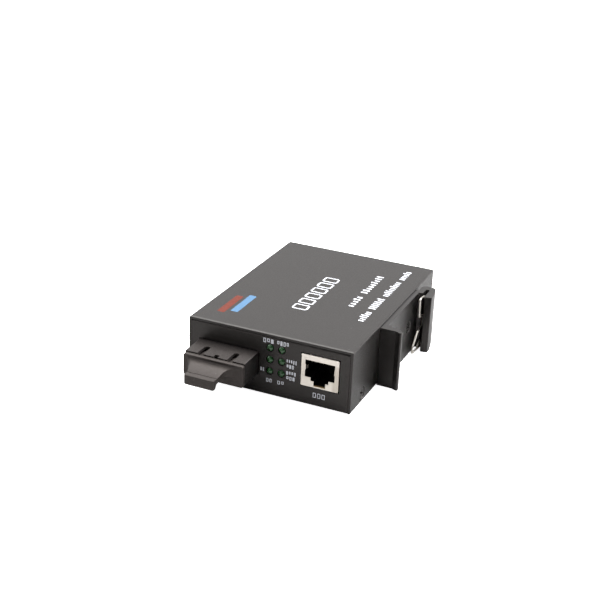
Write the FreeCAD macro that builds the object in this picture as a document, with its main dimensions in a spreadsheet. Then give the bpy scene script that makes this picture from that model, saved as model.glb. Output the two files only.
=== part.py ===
import FreeCAD, Part
import math
import os
import sys

import Sketcher

# Fibre media converter in a folded steel case, with an aluminium rail clip on
# its right side wall.  Millimetres.  X to the right, Y to the back, Z up.
# The origin is the centre of the case's bottom face; the front panel with the
# ports faces -Y, and the rail clip stands on the +X side wall.

DOC = FreeCAD.newDocument("media_converter")
V = FreeCAD.Vector

# ---------------------------------------------------------------- dimensions
DIMENSIONS = [
    # case
    ("case_w", 71.0, "case width, X"),
    ("case_d", 96.4, "case depth, Y"),
    ("case_hi", 26.6, "case height, Z"),
    ("sheet", 1.0, "sheet steel thickness"),
    ("bend_out", 0.85, "outer bend radius"),
    ("bend_in", 0.3, "inner bend radius"),
    ("seam", 0.12, "gap between tray and cover sides"),
    ("lip", 7.0, "return lip of the tray at the top"),
    # cover screws
    ("screw_y", 36.1, "cover screw, distance from mid depth"),
    ("screw_z", 4.0, "cover screw height"),
    ("m3", 3.0, "M3 shank diameter"),
    ("csk_d", 5.5, "countersunk head diameter"),
    ("csk_k", 1.25, "countersunk head depth"),
    ("csk_len", 5.0, "countersunk screw length"),
    ("csk_gap", 0.2, "how far the heads sit below the sheet"),
    # tabs of the tray behind the cover sides
    ("tab_in", 29.8, "tab start, distance from mid depth"),
    ("tab_out", 42.8, "tab end, distance from mid depth"),
    ("tab_top", 8.9, "tab height"),
    # main board
    ("pcb_lo", 6.65, "board underside height"),
    ("pcb_t1", 1.6, "board thickness"),
    ("pcb_w", 63.0, "board width"),
    ("pcb_d", 91.4, "board depth"),
    ("post_x", 28.0, "standoff distance from the centre line"),
    ("post_front", -13.5, "front standoffs, Y"),
    ("post_back", 38.5, "rear standoffs, Y"),
    # copper port
    ("rj_x", 22.2, "copper port centre, X"),
    ("rj_w", 15.8, "copper port shell width"),
    ("rj_top", 21.85, "copper port shell top"),
    ("rj_back", -27.2, "copper port rear face, Y"),
    ("rj_proud", 0.3, "shell stands proud of the panel"),
    ("rj_skin", 0.3, "shell thickness"),
    ("rj_open", 12.5, "plug opening width"),
    ("rj_open_top", 19.6, "plug opening top"),
    ("rj_open_lo", 12.3, "plug opening bottom"),
    ("rj_step_w", 7.5, "latch step width"),
    ("rj_step_lo", 10.85, "latch step bottom"),
    ("rj_latch_w", 4.9, "latch slot width"),
    ("rj_latch_lo", 8.75, "latch slot bottom"),
    ("rj_depth", 13.5, "plug cavity depth"),
    ("rj_gap", 0.35, "panel cut-out gap round the shell"),
    # indicator lamps
    ("led_x1", 0.68, "first lamp column, X"),
    ("led_x2", 5.72, "second lamp column, X"),
    ("led_z1", 10.7, "lowest lamp row, Z"),
    ("led_pitch", 5.08, "lamp row pitch"),
    ("led_r", 1.5, "lamp radius"),
    ("led_hole_r", 1.7, "panel hole radius"),
    # fibre port
    ("sc_x", -17.35, "fibre port centre, X"),
    ("sc_w", 26.1, "fibre port width"),
    ("sc_top", 17.87, "fibre port top"),
    ("sc_front", -60.35, "fibre port front face, Y"),
    ("sc_back", -19.2, "transceiver rear face, Y"),
    ("sc_pitch", 12.9, "distance between the two SC bores"),
    ("sc_cav_w", 9.3, "SC cavity width"),
    ("sc_cav_lo", 9.1, "SC cavity bottom"),
    ("sc_cav_hi", 16.6, "SC cavity top"),
    ("sc_cav_back", -39.2, "SC cavity end, Y"),
    ("sc_key_w", 2.4, "key slot width"),
    ("sc_key_len", 7.1, "key slot length"),
    ("sc_axis", 12.85, "ferrule axis height"),
    # dust plug
    ("plug_x", -17.05, "dust plug centre, X"),
    ("plug_w", 26.1, "dust plug flange width"),
    ("plug_lo", 8.2, "flange bottom"),
    ("plug_hi", 17.45, "flange top"),
    ("plug_t1", 2.05, "flange thickness"),
    ("plug_gap", 0.06, "gap between flange and port face"),
    ("tab_x", -17.58, "pull tab centre, X"),
    ("tab_y", -73.1, "pull tab end, Y"),
    ("tab_w", 12.95, "pull tab width"),
    ("tab_root_w", 20.8, "pull tab width at the flange"),
    ("tab_hi", 14.35, "pull tab top"),
    ("tab_lo", 10.15, "pull tab bottom"),
    ("tab_under", 12.0, "pull tab underside behind its lip"),
    ("lip_len", 1.9, "pull tab lip, along Y"),
    ("key_top", 16.95, "top of the plug's keys"),
    ("leg_w", 6.0, "plug leg width"),
    ("leg_len", 12.5, "plug leg length"),
    # power inlet
    ("jack_x", 18.0, "power inlet centre, X"),
    ("jack_w", 9.0, "power inlet width"),
    ("jack_len", 14.0, "power inlet length"),
    ("jack_hi", 18.85, "power inlet top"),
    ("jack_axis", 13.85, "power inlet axis height"),
    ("jack_r", 3.15, "power inlet bore radius"),
    ("jack_pin_r", 1.0, "power inlet pin radius"),
    # rail clip
    ("clip_hi", 25.65, "clip length along Z"),
    ("clip_base", 2.0, "clip base plate thickness"),
    ("clip_front", -19.6, "front hook face, Y"),
    ("clip_lip", -16.2, "front lip, Y"),
    ("clip_groove", -16.9, "front groove bottom, Y"),
    ("slot_in", 39.2, "slot inner wall, X"),
    ("slot_out", 40.9, "slot outer wall, X"),
    ("slot_end", 27.0, "slot end, Y"),
    ("clip_back", 30.25, "clip rear face, Y"),
    ("clip_out", 44.9, "clip outermost point, X"),
    ("clip_screw_y1", 11.2, "first clip screw, Y"),
    ("clip_screw_y2", -6.2, "second clip screw, Y"),
    ("clip_screw_z", 13.6, "clip screws, Z"),
    # spring wire
    ("wire_r", 0.47, "spring wire radius"),
    ("wire_x", 39.85, "spring wire plane, X"),
]


class Q:
    """A sheet value together with the expression that reads it."""

    def __init__(self, value, text):
        self.v = float(value)
        self.e = text

    def _join(self, other, sign, swap=False):
        o = other if isinstance(other, Q) else Q(other, "(%r)" % float(other))
        a, b = (o, self) if swap else (self, o)
        if sign == "+":
            v = a.v + b.v
        elif sign == "-":
            v = a.v - b.v
        elif sign == "*":
            v = a.v * b.v
        else:
            v = a.v / b.v
        return Q(v, "(%s %s %s)" % (a.e, sign, b.e))

    def __add__(self, o):
        return self._join(o, "+")

    def __radd__(self, o):
        return self._join(o, "+", True)

    def __sub__(self, o):
        return self._join(o, "-")

    def __rsub__(self, o):
        return self._join(o, "-", True)

    def __mul__(self, o):
        return self._join(o, "*")

    def __rmul__(self, o):
        return self._join(o, "*", True)

    def __truediv__(self, o):
        return self._join(o, "/")

    def __neg__(self):
        return Q(-self.v, "(0 - %s)" % self.e)


def num(q):
    return q.v if isinstance(q, Q) else float(q)


sheet = DOC.addObject("Spreadsheet::Sheet", "Dims")
for row, (alias, value, note) in enumerate(DIMENSIONS, start=1):
    sheet.set("A%d" % row, alias)
    sheet.set("B%d" % row, repr(value))
    sheet.set("C%d" % row, note)
    sheet.setAlias("B%d" % row, alias)
DOC.recompute()


def D(alias):
    return Q(float(getattr(sheet, alias)), "Dims.%s" % alias)


def bind(obj, prop, q):
    if isinstance(q, Q):
        obj.setExpression(prop, q.e)
    else:
        parts = prop.split(".")
        if len(parts) == 1:
            setattr(obj, prop, float(q))
        else:
            obj.setExpression(prop, "%r" % float(q))


# ------------------------------------------------------------ small helpers
NODES = []


def node(obj, label):
    obj.Label = label
    NODES.append(obj)
    return obj


def body(label):
    b = DOC.addObject("PartDesign::Body", label)
    node(b, label)
    return b


def plane(b, role):
    for f in b.Origin.OriginFeatures:
        if f.Role == role:
            return f
    raise RuntimeError(role)


# For each plane: the role of the body's own origin plane, and the sign that
# turns a coordinate along the global axis into an offset along its normal.
PLANES = {"xy": ("XY_Plane", 1.0), "xz": ("XZ_Plane", -1.0), "yz": ("YZ_Plane", 1.0)}


def sketch(b, which, at, name):
    """A sketch in the body on an origin plane, moved to `at` on the third axis."""
    role, sign = PLANES[which]
    sk = b.newObject("Sketcher::SketchObject", name)
    sk.AttachmentSupport = [(plane(b, role), "")]
    sk.MapMode = "FlatFace"
    off = at * sign if isinstance(at, Q) else float(at) * sign
    sk.AttachmentOffset = FreeCAD.Placement(V(0, 0, num(off)), FreeCAD.Rotation())
    if isinstance(off, Q):
        sk.setExpression("AttachmentOffset.Base.z", off.e)
    return sk


def drive(sk, kind, geo, pos, q):
    i = sk.addConstraint(Sketcher.Constraint(kind, -1, 1, geo, pos, num(q)))
    if isinstance(q, Q):
        sk.setExpression("Constraints[%d]" % i, q.e)


def outline(sk, points):
    """A closed polygon; every corner's two coordinates are driven."""
    n = len(points)
    first = sk.GeometryCount
    for i in range(n):
        a, c = points[i], points[(i + 1) % n]
        sk.addGeometry(Part.LineSegment(V(num(a[0]), num(a[1]), 0), V(num(c[0]), num(c[1]), 0)), False)
    for i in range(n):
        sk.addConstraint(Sketcher.Constraint("Coincident", first + i, 2, first + (i + 1) % n, 1))
    for i in range(n):
        drive(sk, "DistanceX", first + i, 1, points[i][0])
        drive(sk, "DistanceY", first + i, 1, points[i][1])


def rect(sk, x0, y0, x1, y1):
    outline(sk, [(x0, y0), (x1, y0), (x1, y1), (x0, y1)])


def circle(sk, cx, cy, r):
    g = sk.addGeometry(Part.Circle(V(num(cx), num(cy), 0), V(0, 0, 1), num(r)), False)
    drive(sk, "DistanceX", g, 3, cx)
    drive(sk, "DistanceY", g, 3, cy)
    i = sk.addConstraint(Sketcher.Constraint("Radius", g, num(r)))
    if isinstance(r, Q):
        sk.setExpression("Constraints[%d]" % i, r.e)


def pad(b, which, lo, hi, draw, name):
    """Material from lo to hi along the plane's global axis."""
    sk = sketch(b, which, hi if which == "xz" else lo, name + "_sketch")
    draw(sk)
    f = b.newObject("PartDesign::Pad", name)
    f.Profile = sk
    bind(f, "Length", hi - lo)
    b.Tip = f
    DOC.recompute()
    return f


def pocket(b, which, lo, hi, draw, name):
    """Cut from lo to hi along the plane's global axis; must remove material."""
    before = b.Shape.Volume
    sk = sketch(b, which, lo if which == "xz" else hi, name + "_sketch")
    draw(sk)
    f = b.newObject("PartDesign::Pocket", name)
    f.Profile = sk
    bind(f, "Length", hi - lo)
    b.Tip = f
    DOC.recompute()
    if b.Shape.Volume > before - 1e-3:
        raise RuntimeError("pocket %s removed nothing" % name)
    return f


def round_edges(b, radius, wanted, name, chamfer=False):
    """Fillet the edges of the body's tip that `wanted` picks."""
    base = b.Tip
    names = []
    for i, e in enumerate(base.Shape.Edges, start=1):
        if wanted(e):
            names.append("Edge%d" % i)
    if not names:
        raise RuntimeError("no edge for %s" % name)
    f = b.newObject("PartDesign::Chamfer" if chamfer else "PartDesign::Fillet", name)
    f.Base = (base, names)
    bind(f, "Size" if chamfer else "Radius", radius)
    b.Tip = f
    DOC.recompute()
    if "Invalid" in f.State or f.Shape.isNull() or not f.Shape.isValid():
        raise RuntimeError("fillet %s failed" % name)
    return f


def straight(e):
    return e.Curve.TypeId == "Part::GeomLine"


def along(e, axis, tol=1e-4):
    if not straight(e):
        return False
    d = e.Curve.Direction
    return abs(abs((d.x, d.y, d.z)[axis]) - 1.0) < tol


def mid(e):
    return e.CenterOfMass


def near(a, b, tol=0.02):
    return abs(a - b) < tol


def box(name, x0, y0, z0, x1, y1, z1):
    o = DOC.addObject("Part::Box", name)
    bind(o, "Length", x1 - x0 if isinstance(x1, Q) or isinstance(x0, Q) else float(x1) - float(x0))
    bind(o, "Width", y1 - y0 if isinstance(y1, Q) or isinstance(y0, Q) else float(y1) - float(y0))
    bind(o, "Height", z1 - z0 if isinstance(z1, Q) or isinstance(z0, Q) else float(z1) - float(z0))
    for k, q in (("x", x0), ("y", y0), ("z", z0)):
        bind(o, "Placement.Base." + k, q)
    return o


TURN = {
    "+x": FreeCAD.Rotation(V(0, 1, 0), 90),
    "-x": FreeCAD.Rotation(V(0, 1, 0), -90),
    "+y": FreeCAD.Rotation(V(1, 0, 0), -90),
    "-y": FreeCAD.Rotation(V(1, 0, 0), 90),
    "+z": FreeCAD.Rotation(),
    "-z": FreeCAD.Rotation(V(1, 0, 0), 180),
}


def put(o, x, y, z, way):
    o.Placement = FreeCAD.Placement(V(num(x), num(y), num(z)), TURN[way])
    for k, q in (("x", x), ("y", y), ("z", z)):
        if isinstance(q, Q):
            bind(o, "Placement.Base." + k, q)
    return o


def rod(name, x, y, z, way, r, length):
    o = DOC.addObject("Part::Cylinder", name)
    bind(o, "Radius", r)
    bind(o, "Height", length)
    return put(o, x, y, z, way)


def cone(name, x, y, z, way, r1, r2, length):
    o = DOC.addObject("Part::Cone", name)
    bind(o, "Radius1", r1)
    bind(o, "Radius2", r2)
    bind(o, "Height", length)
    return put(o, x, y, z, way)


def cut(name, base, tool):
    o = DOC.addObject("Part::Cut", name)
    o.Base = base
    o.Tool = tool
    return o


def fuse(name, shapes):
    o = DOC.addObject("Part::MultiFuse", name)
    o.Shapes = shapes
    return o


def group(label, members):
    """Identical pieces that share one node, each a separate solid."""
    o = DOC.addObject("Part::Compound", label)
    o.Links = members
    return node(o, label)


# ------------------------------------------------------------ shared values
W2 = D("case_w") / 2
D2 = D("case_d") / 2
H = D("case_hi")
S = D("sheet")
INNER = W2 - S                      # inner face of the cover sides
TRAY = INNER - D("seam")            # half width of the tray
PCB_LO = D("pcb_lo")
PCB_TOP = D("pcb_lo") + D("pcb_t1")
R3 = D("m3") / 2


# ------------------------------------------------------------------ the tray
# One folded sheet: bottom, front and rear panels, and a short return lip at
# the top of each panel.  Two pairs of tabs stand up behind the cover's sides.
tray = body("base_tray")
TOP_IN = H - S                      # the lips touch the cover's underside
pad(tray, "yz", -TRAY, TRAY, lambda s: rect(s, -D2, 0.0, D2, TOP_IN), "tray_block")
pocket(tray, "yz", -TRAY, TRAY, lambda s: rect(s, -D2 + S, S, D2 - S, TOP_IN - S), "tray_inside")
pocket(tray, "xy", TOP_IN - S, TOP_IN,
       lambda s: rect(s, -TRAY, -D2 + D("lip"), TRAY, D2 - D("lip")), "tray_open_top")
round_edges(tray, D("bend_out"),
            lambda e: along(e, 0) and near(abs(mid(e).y), D2.v) and (near(mid(e).z, 0) or near(mid(e).z, TOP_IN.v)),
            "tray_outer_bends")
round_edges(tray, D("bend_in"),
            lambda e: along(e, 0) and near(abs(mid(e).y), D2.v - S.v)
            and (near(mid(e).z, S.v) or near(mid(e).z, TOP_IN.v - S.v)),
            "tray_inner_bends")
for side, (lo, hi) in (("right", (TRAY - S, TRAY)), ("left", (-TRAY, -TRAY + S))):
    pad(tray, "yz", lo, hi,
        lambda s: (rect(s, D("tab_in"), S / 2, D("tab_out"), D("tab_top")),
                   rect(s, -D("tab_out"), S / 2, -D("tab_in"), D("tab_top"))),
        "tray_tabs_" + side)
round_edges(tray, 2.0,
            lambda e: along(e, 0) and near(mid(e).z, D("tab_top").v), "tray_tab_corners")
# threaded holes of the tabs, one line across both sides
pocket(tray, "yz", -TRAY - 1.0, TRAY + 1.0,
       lambda s: (circle(s, D("screw_y"), D("screw_z"), R3), circle(s, -D("screw_y"), D("screw_z"), R3)),
       "tray_tab_threads")
# front panel: copper port, fibre port, six lamp holes
RJ0 = D("rj_x") - D("rj_w") / 2
RJ1 = D("rj_x") + D("rj_w") / 2
SC0 = D("sc_x") - D("sc_w") / 2
SC1 = D("sc_x") + D("sc_w") / 2
G = D("rj_gap")
pocket(tray, "xz", -D2 - 0.5, -D2 + S + 0.5,
       lambda s: rect(s, RJ0 - G, PCB_TOP - G, RJ1 + G, D("rj_top") + G), "tray_copper_cutout")
pocket(tray, "xz", -D2 - 0.5, -D2 + S + 0.5,
       lambda s: rect(s, SC0 - G, PCB_TOP - G, SC1 + G, D("sc_top") + G), "tray_fibre_cutout")
LED_X = (D("led_x1"), D("led_x2"))
LED_Z = (D("led_z1"), D("led_z1") + D("led_pitch"), D("led_z1") + D("led_pitch") * 2)


def lamp_holes(s):
    for x in LED_X:
        for z in LED_Z:
            circle(s, x, z, D("led_hole_r"))


pocket(tray, "xz", -D2 - 0.5, -D2 + S + 0.5, lamp_holes, "tray_lamp_holes")
# rear panel: power inlet
JK0 = D("jack_x") - D("jack_w") / 2
JK1 = D("jack_x") + D("jack_w") / 2
pocket(tray, "xz", D2 - S - 0.5, D2 + 0.5,
       lambda s: rect(s, JK0 - G, PCB_TOP - G, JK1 + G, D("jack_hi") + G), "tray_power_cutout")
# pressed holes for the four standoffs
POSTS = [(sx * D("post_x"), y) for sx in (-1.0, 1.0) for y in (D("post_front"), D("post_back"))]


def post_holes(s):
    for x, y in POSTS:
        circle(s, x, y, 2.1)


pocket(tray, "xy", Q(-1.0, "(-1.0)"), S + 1.0, post_holes, "tray_standoff_holes")


# ----------------------------------------------------------------- the cover
# One folded sheet over the tray: top and both sides.  The sides stop just
# short of the tray's underside.
cover = body("top_cover")
COVER_LO = Q(0.15, "(0.15)")
pad(cover, "xz", -D2, D2, lambda s: rect(s, -W2, COVER_LO, W2, H), "cover_block")
round_edges(cover, D("bend_out"), lambda e: along(e, 1) and near(mid(e).z, H.v), "cover_outer_bends")
pocket(cover, "xz", -D2 - 1.0, D2 + 1.0, lambda s: rect(s, -INNER, -1.0, INNER, TOP_IN), "cover_inside")
round_edges(cover, D("bend_in"), lambda e: along(e, 1) and near(mid(e).z, TOP_IN.v), "cover_inner_bends")
pocket(cover, "yz", -W2 - 1.0, W2 + 1.0,
       lambda s: (circle(s, D("screw_y"), D("screw_z"), R3), circle(s, -D("screw_y"), D("screw_z"), R3)),
       "cover_screw_holes")
pocket(cover, "yz", W2 - S - 1.0, W2 + 1.0,
       lambda s: (circle(s, D("clip_screw_y1"), D("clip_screw_z"), R3),
                  circle(s, D("clip_screw_y2"), D("clip_screw_z"), R3)),
       "cover_clip_holes")


def countersink(b, name, x, y, z, way, deep, r_big, r_small):
    """Conical seat cut inwards from (x, y, z)."""
    before = b.Shape.Volume
    f = b.newObject("PartDesign::SubtractiveCone", name)
    bind(f, "Radius1", r_big)
    bind(f, "Radius2", r_small)
    bind(f, "Height", deep)
    f.MapMode = "Deactivated"
    put(f, x, y, z, way)
    b.Tip = f
    DOC.recompute()
    if b.Shape.Volume > before - 1e-4:
        raise RuntimeError("countersink %s removed nothing" % name)


CSK_R = D("csk_d") / 2
K = D("csk_k")
CG = D("csk_gap")
for i, (sx, sy) in enumerate(((1, -1), (1, 1), (-1, -1), (-1, 1))):
    countersink(cover, "cover_countersink_%d" % (i + 1), W2 * sx, D("screw_y") * sy, D("screw_z"),
                "-x" if sx > 0 else "+x", K + CG, CSK_R + CG, R3)
    countersink(tray, "tray_countersink_%d" % (i + 1), W2 * sx, D("screw_y") * sy, D("screw_z"),
                "-x" if sx > 0 else "+x", K + CG, CSK_R + CG, R3)


# -------------------------------------------------------------------- screws
def cross_recess(name, x, y, z, way, span, deep):
    """Phillips recess: a tapered cross, cut from the head's face inwards."""
    arms = []
    for k, (a, c) in enumerate(((span / 2, 0.34), (0.34, span / 2))):
        w = DOC.addObject("Part::Wedge", "%s_arm%d" % (name, k + 1))
        w.Xmin, w.Xmax = -a, a
        w.Zmin, w.Zmax = -c, c
        w.Ymin, w.Ymax = -0.02, deep
        shrink = 0.35
        w.X2min, w.X2max = -max(0.2, a * shrink), max(0.2, a * shrink)
        w.Z2min, w.Z2max = -max(0.2, c * 0.7), max(0.2, c * 0.7)
        # the wedge's own Y axis is the depth direction
        turn = TURN[way].multiply(FreeCAD.Rotation(V(1, 0, 0), 90)).multiply(FreeCAD.Rotation(V(0, 1, 0), 20))
        w.Placement = FreeCAD.Placement(V(num(x), num(y), num(z)), turn)
        for ax, q in (("x", x), ("y", y), ("z", z)):
            if isinstance(q, Q):
                bind(w, "Placement.Base." + ax, q)
        arms.append(w)
    return fuse(name, arms)


def flat_screw(name, x, y, z, way):
    """Countersunk M3 with a cross recess; (x, y, z) is the centre of the head's face."""
    sign = 1.0 if way[0] == "+" else -1.0
    head = cone(name + "_head", x, y, z, way, CSK_R, R3, K)
    shank = rod(name + "_shank", x + sign * K, y, z, way, R3, D("csk_len") - K)
    whole = fuse(name + "_blank", [head, shank])
    return cut(name, whole, cross_recess(name + "_recess", x, y, z, way, 3.0, 1.2))


side_screws = []
for i, (sx, sy) in enumerate(((1, -1), (1, 1), (-1, -1), (-1, 1))):
    side_screws.append(flat_screw("cover_screw_%d" % (i + 1), (W2 - CG) * sx, D("screw_y") * sy, D("screw_z"),
                                  "-x" if sx > 0 else "+x"))
group("cover_screws", side_screws)


# --------------------------------------------------------------- main board
board = body("circuit_board")
BX = D("pcb_w") / 2
BY = D("pcb_d") / 2
pad(board, "xy", PCB_LO, PCB_TOP, lambda s: rect(s, -BX, -BY, BX, BY), "board_plate")


def board_holes(s):
    for x, y in POSTS:
        circle(s, x, y, R3 + 0.1)


pocket(board, "xy", PCB_LO - 0.5, PCB_TOP + 0.5, board_holes, "board_mounting_holes")
# rows of plated holes for the transceiver's nine pins and two studs
PIN_Y = D("sc_back") - 1.6
PIN_PITCH = 2.54


def pin_holes(s):
    for i in range(9):
        circle(s, D("sc_x") + (i - 4) * PIN_PITCH, PIN_Y, 0.45)
    for sx in (-1.0, 1.0):
        circle(s, D("sc_x") + sx * 10.16, PIN_Y - 15.0, 1.0)


pocket(board, "xy", PCB_LO - 0.5, PCB_TOP + 0.5, pin_holes, "board_pin_holes")

posts, pans = [], []
for i, (x, y) in enumerate(POSTS):
    n = i + 1
    hexagon = DOC.addObject("Part::Prism", "standoff_%d_hex" % n)
    hexagon.Polygon = 6
    bind(hexagon, "Circumradius", 3.0)
    bind(hexagon, "Height", PCB_LO - S)
    put(hexagon, x, y, S, "+z")
    shank = rod("standoff_%d_shank" % n, x, y, 0.05, "+z", 2.1, S + 0.5)
    solid = fuse("standoff_%d_solid" % n, [hexagon, shank])
    posts.append(cut("standoff_%d" % n, solid, rod("standoff_%d_thread" % n, x, y, S + 0.6, "+z", R3, 6.0)))
    head = rod("board_screw_%d_head" % n, x, y, PCB_TOP, "+z", 2.75, 1.8)
    leg = rod("board_screw_%d_leg" % n, x, y, PCB_TOP - 5.0, "+z", R3, 5.5)
    whole = fuse("board_screw_%d_blank" % n, [head, leg])
    pans.append(cut("board_screw_%d" % n, whole,
                    cross_recess("board_screw_%d_recess" % n, x, y, PCB_TOP + 1.8, "-z", 3.0, 1.2)))
group("board_standoffs", posts)
group("board_screws", pans)


# --------------------------------------------------------------- copper port
RX = D("rj_x")
RF = -D2 - D("rj_proud")            # front face of the shell
SK = D("rj_skin")
O2 = D("rj_open") / 2
ST2 = D("rj_step_w") / 2
L2 = D("rj_latch_w") / 2
OPENING = [
    (RX - O2, D("rj_open_top")), (RX - O2, D("rj_open_lo")), (RX - ST2, D("rj_open_lo")),
    (RX - ST2, D("rj_step_lo")), (RX - L2, D("rj_step_lo")), (RX - L2, D("rj_latch_lo")),
    (RX + L2, D("rj_latch_lo")), (RX + L2, D("rj_step_lo")), (RX + ST2, D("rj_step_lo")),
    (RX + ST2, D("rj_open_lo")), (RX + O2, D("rj_open_lo")), (RX + O2, D("rj_open_top")),
]

shell = body("rj45_shield")
pad(shell, "xz", RF, D("rj_back"), lambda s: rect(s, RJ0, PCB_TOP, RJ1, D("rj_top")), "shell_block")
round_edges(shell, 0.5, lambda e: along(e, 1), "shell_corners")
pocket(shell, "xz", RF + SK, D("rj_back") - SK,
       lambda s: rect(s, RJ0 + SK, PCB_TOP + SK, RJ1 - SK, D("rj_top") - SK), "shell_inside")
pocket(shell, "xz", RF - 0.5, RF + SK + 0.1, lambda s: outline(s, OPENING), "shell_opening")
# a sprung ground finger on each side of the opening, bowed into it
for side, sg in (("left", -1.0), ("right", 1.0)):
    ex = RX + O2 * sg

    def finger(s, ex=ex, sg=sg):
        outline(s, [
            (ex + 0.15 * sg, RF + 0.02), (ex, RF + 0.02), (ex - 0.42 * sg, RF + 1.4), (ex - 0.72 * sg, RF + 2.8),
            (ex - 0.72 * sg, RF + 3.8), (ex - 0.4 * sg, RF + 5.2), (ex - 0.05 * sg, RF + 6.4),
            (ex - 0.05 * sg, RF + 6.9), (ex - 0.3 * sg, RF + 6.9), (ex - 0.62 * sg, RF + 5.3),
            (ex - 0.97 * sg, RF + 3.95), (ex - 0.97 * sg, RF + 2.65), (ex - 0.65 * sg, RF + 1.3),
            (ex - 0.22 * sg, RF + 0.0), (ex + 0.0 * sg, RF + 0.0), (ex + 0.15 * sg, RF + 0.0),
        ][:14] + [(ex + 0.15 * sg, RF + 0.0)])

    pad(shell, "xy", Q(15.3, "(15.3)"), Q(17.7, "(17.7)"), finger, "shell_finger_" + side)

insert = body("rj45_insert")
IN_X0, IN_X1 = RJ0 + SK, RJ1 - SK
IN_Z0, IN_Z1 = PCB_TOP + SK, D("rj_top") - SK
pad(insert, "xz", RF + SK, D("rj_back") - SK, lambda s: rect(s, IN_X0, IN_Z0, IN_X1, IN_Z1), "insert_block")
pocket(insert, "xz", RF, RF + D("rj_depth"), lambda s: outline(s, OPENING), "insert_cavity")
# comb slots that guide the contacts down from the cavity's roof
for i in range(8):
    cx = RX + (i - 3.5) * 1.02
    pocket(insert, "xz", RF + D("rj_depth") - 8.0, RF + D("rj_depth"),
           lambda s, cx=cx: rect(s, cx - 0.3, D("rj_open_top") - 0.1, cx + 0.3, D("rj_open_top") + 0.7),
           "insert_comb_%d" % (i + 1))

contacts = []
CY0, CY1 = RF + D("rj_depth") - 7.6, RF + D("rj_depth") - 1.0
for i in range(8):
    b = DOC.addObject("Part::Box", "contact_%d" % (i + 1))
    b.Length, b.Width, b.Height = 0.36, 7.6, 0.26
    b.Placement = FreeCAD.Placement(V(RX.v + (i - 3.5) * 1.02 - 0.18, CY0.v, D("rj_open_top").v + 0.1),
                                    FreeCAD.Rotation(V(1, 0, 0), -30))
    bind(b, "Placement.Base.x", RX + (i - 3.5) * 1.02 - 0.18)
    bind(b, "Placement.Base.y", CY0)
    bind(b, "Placement.Base.z", D("rj_open_top") + 0.1)
    contacts.append(b)
group("rj45_contacts", contacts)


# ------------------------------------------------------- isolation magnetics
TRX0, TRX1 = RX - 6.4, RX + 6.4
TRY0, TRY1 = D("rj_back") + 1.7, D("rj_back") + 7.7
magnetics = body("network_transformer")
pad(magnetics, "xy", PCB_TOP + 0.15, PCB_TOP + 5.6, lambda s: rect(s, TRX0, TRY0, TRX1, TRY1), "transformer_block")
round_edges(magnetics, 0.4, lambda e: near(mid(e).z, PCB_TOP.v + 5.6), "transformer_top_edges", chamfer=True)
gulls = []
for row, (ye, sg) in enumerate(((TRY0, -1.0), (TRY1, 1.0))):
    for i in range(8):
        cx = RX + (i - 3.5) * 1.5
        y_out = ye + sg * 1.0
        lo_y, hi_y = (ye, y_out) if sg > 0 else (y_out, ye)
        arm = box("gull_arm_%d_%d" % (row, i), cx - 0.2, lo_y, PCB_TOP + 1.2, cx + 0.2, hi_y, PCB_TOP + 1.4)
        f_lo, f_hi = (y_out - 0.2, y_out) if sg > 0 else (y_out, y_out + 0.2)
        leg = box("gull_leg_%d_%d" % (row, i), cx - 0.2, f_lo, PCB_TOP, cx + 0.2, f_hi, PCB_TOP + 1.4)
        gulls.append(fuse("gull_%d_%d" % (row, i), [arm, leg]))
group("transformer_leads", gulls)


# --------------------------------------------------------------------- lamps
# Block of six holes behind the panel, six lamps with domed ends, and two
# leads to each lamp, bent down to the board.
holder = body("led_holder")
HY0, HY1 = -D2 + S + 0.05, -D2 + S + 4.6
pad(holder, "xy", PCB_TOP, D("led_z1") + D("led_pitch") * 2 + 2.3,
    lambda s: rect(s, D("led_x1") - 2.2, HY0, D("led_x2") + 2.2, HY1), "holder_block")


def holder_bores(s):
    for x in LED_X:
        for z in LED_Z:
            circle(s, x, z, D("led_r") + 0.02)


pocket(holder, "xz", HY0 - 0.5, HY1 + 0.5, holder_bores, "holder_bores")
lamps, leads = [], []
LY_BACK = -D2 + S + 4.0
n = 0
for x in LED_X:
    for z in LED_Z:
        n += 1
        DOME = -D2 + 0.75           # centre of the domed end
        stem = rod("led_%d_stem" % n, x, DOME, z, "+y", D("led_r"), LY_BACK - DOME)
        ball = DOC.addObject("Part::Sphere", "led_%d_dome" % n)
        bind(ball, "Radius", D("led_r"))
        put(ball, x, DOME, z, "+z")
        lamps.append(fuse("led_%d" % n, [stem, ball]))
        row = LED_Z.index(z)
        for k, dx in enumerate((-0.75, 0.75)):
            reach = LY_BACK + 1.6 + row * 1.2
            flat = box("led_%d_lead_%d_flat" % (n, k), x + dx - 0.22, LY_BACK, z - 0.22, x + dx + 0.22, reach, z + 0.22)
            drop = box("led_%d_lead_%d_drop" % (n, k), x + dx - 0.22, reach - 0.44, PCB_TOP, x + dx + 0.22, reach, z + 0.22)
            leads.append(fuse("led_%d_lead_%d" % (n, k), [flat, drop]))
group("leds", lamps)
group("led_leads", leads)


# ---------------------------------------------------------------- fibre port
SX = D("sc_x")
SF = D("sc_front")
PORTS = (SX - D("sc_pitch") / 2, SX + D("sc_pitch") / 2)
C2 = D("sc_cav_w") / 2
housing = body("transceiver_housing")
pad(housing, "xz", SF, D("sc_back"), lambda s: rect(s, SC0, PCB_TOP, SC1, D("sc_top")), "housing_block")
round_edges(housing, 0.35, lambda e: along(e, 1), "housing_long_edges")
pocket(housing, "xz", SF - 0.5, D("sc_cav_back"),
       lambda s: [rect(s, p - C2, D("sc_cav_lo"), p + C2, D("sc_cav_hi")) for p in PORTS], "housing_ports")
KW = D("sc_key_w") / 2


def keyways(s):
    for p in PORTS:
        rect(s, p - KW, SF - 0.5, p + KW, SF + D("sc_key_len") - KW)


def keyway_ends(s):
    for p in PORTS:
        circle(s, p, SF + D("sc_key_len") - KW, KW)


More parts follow.
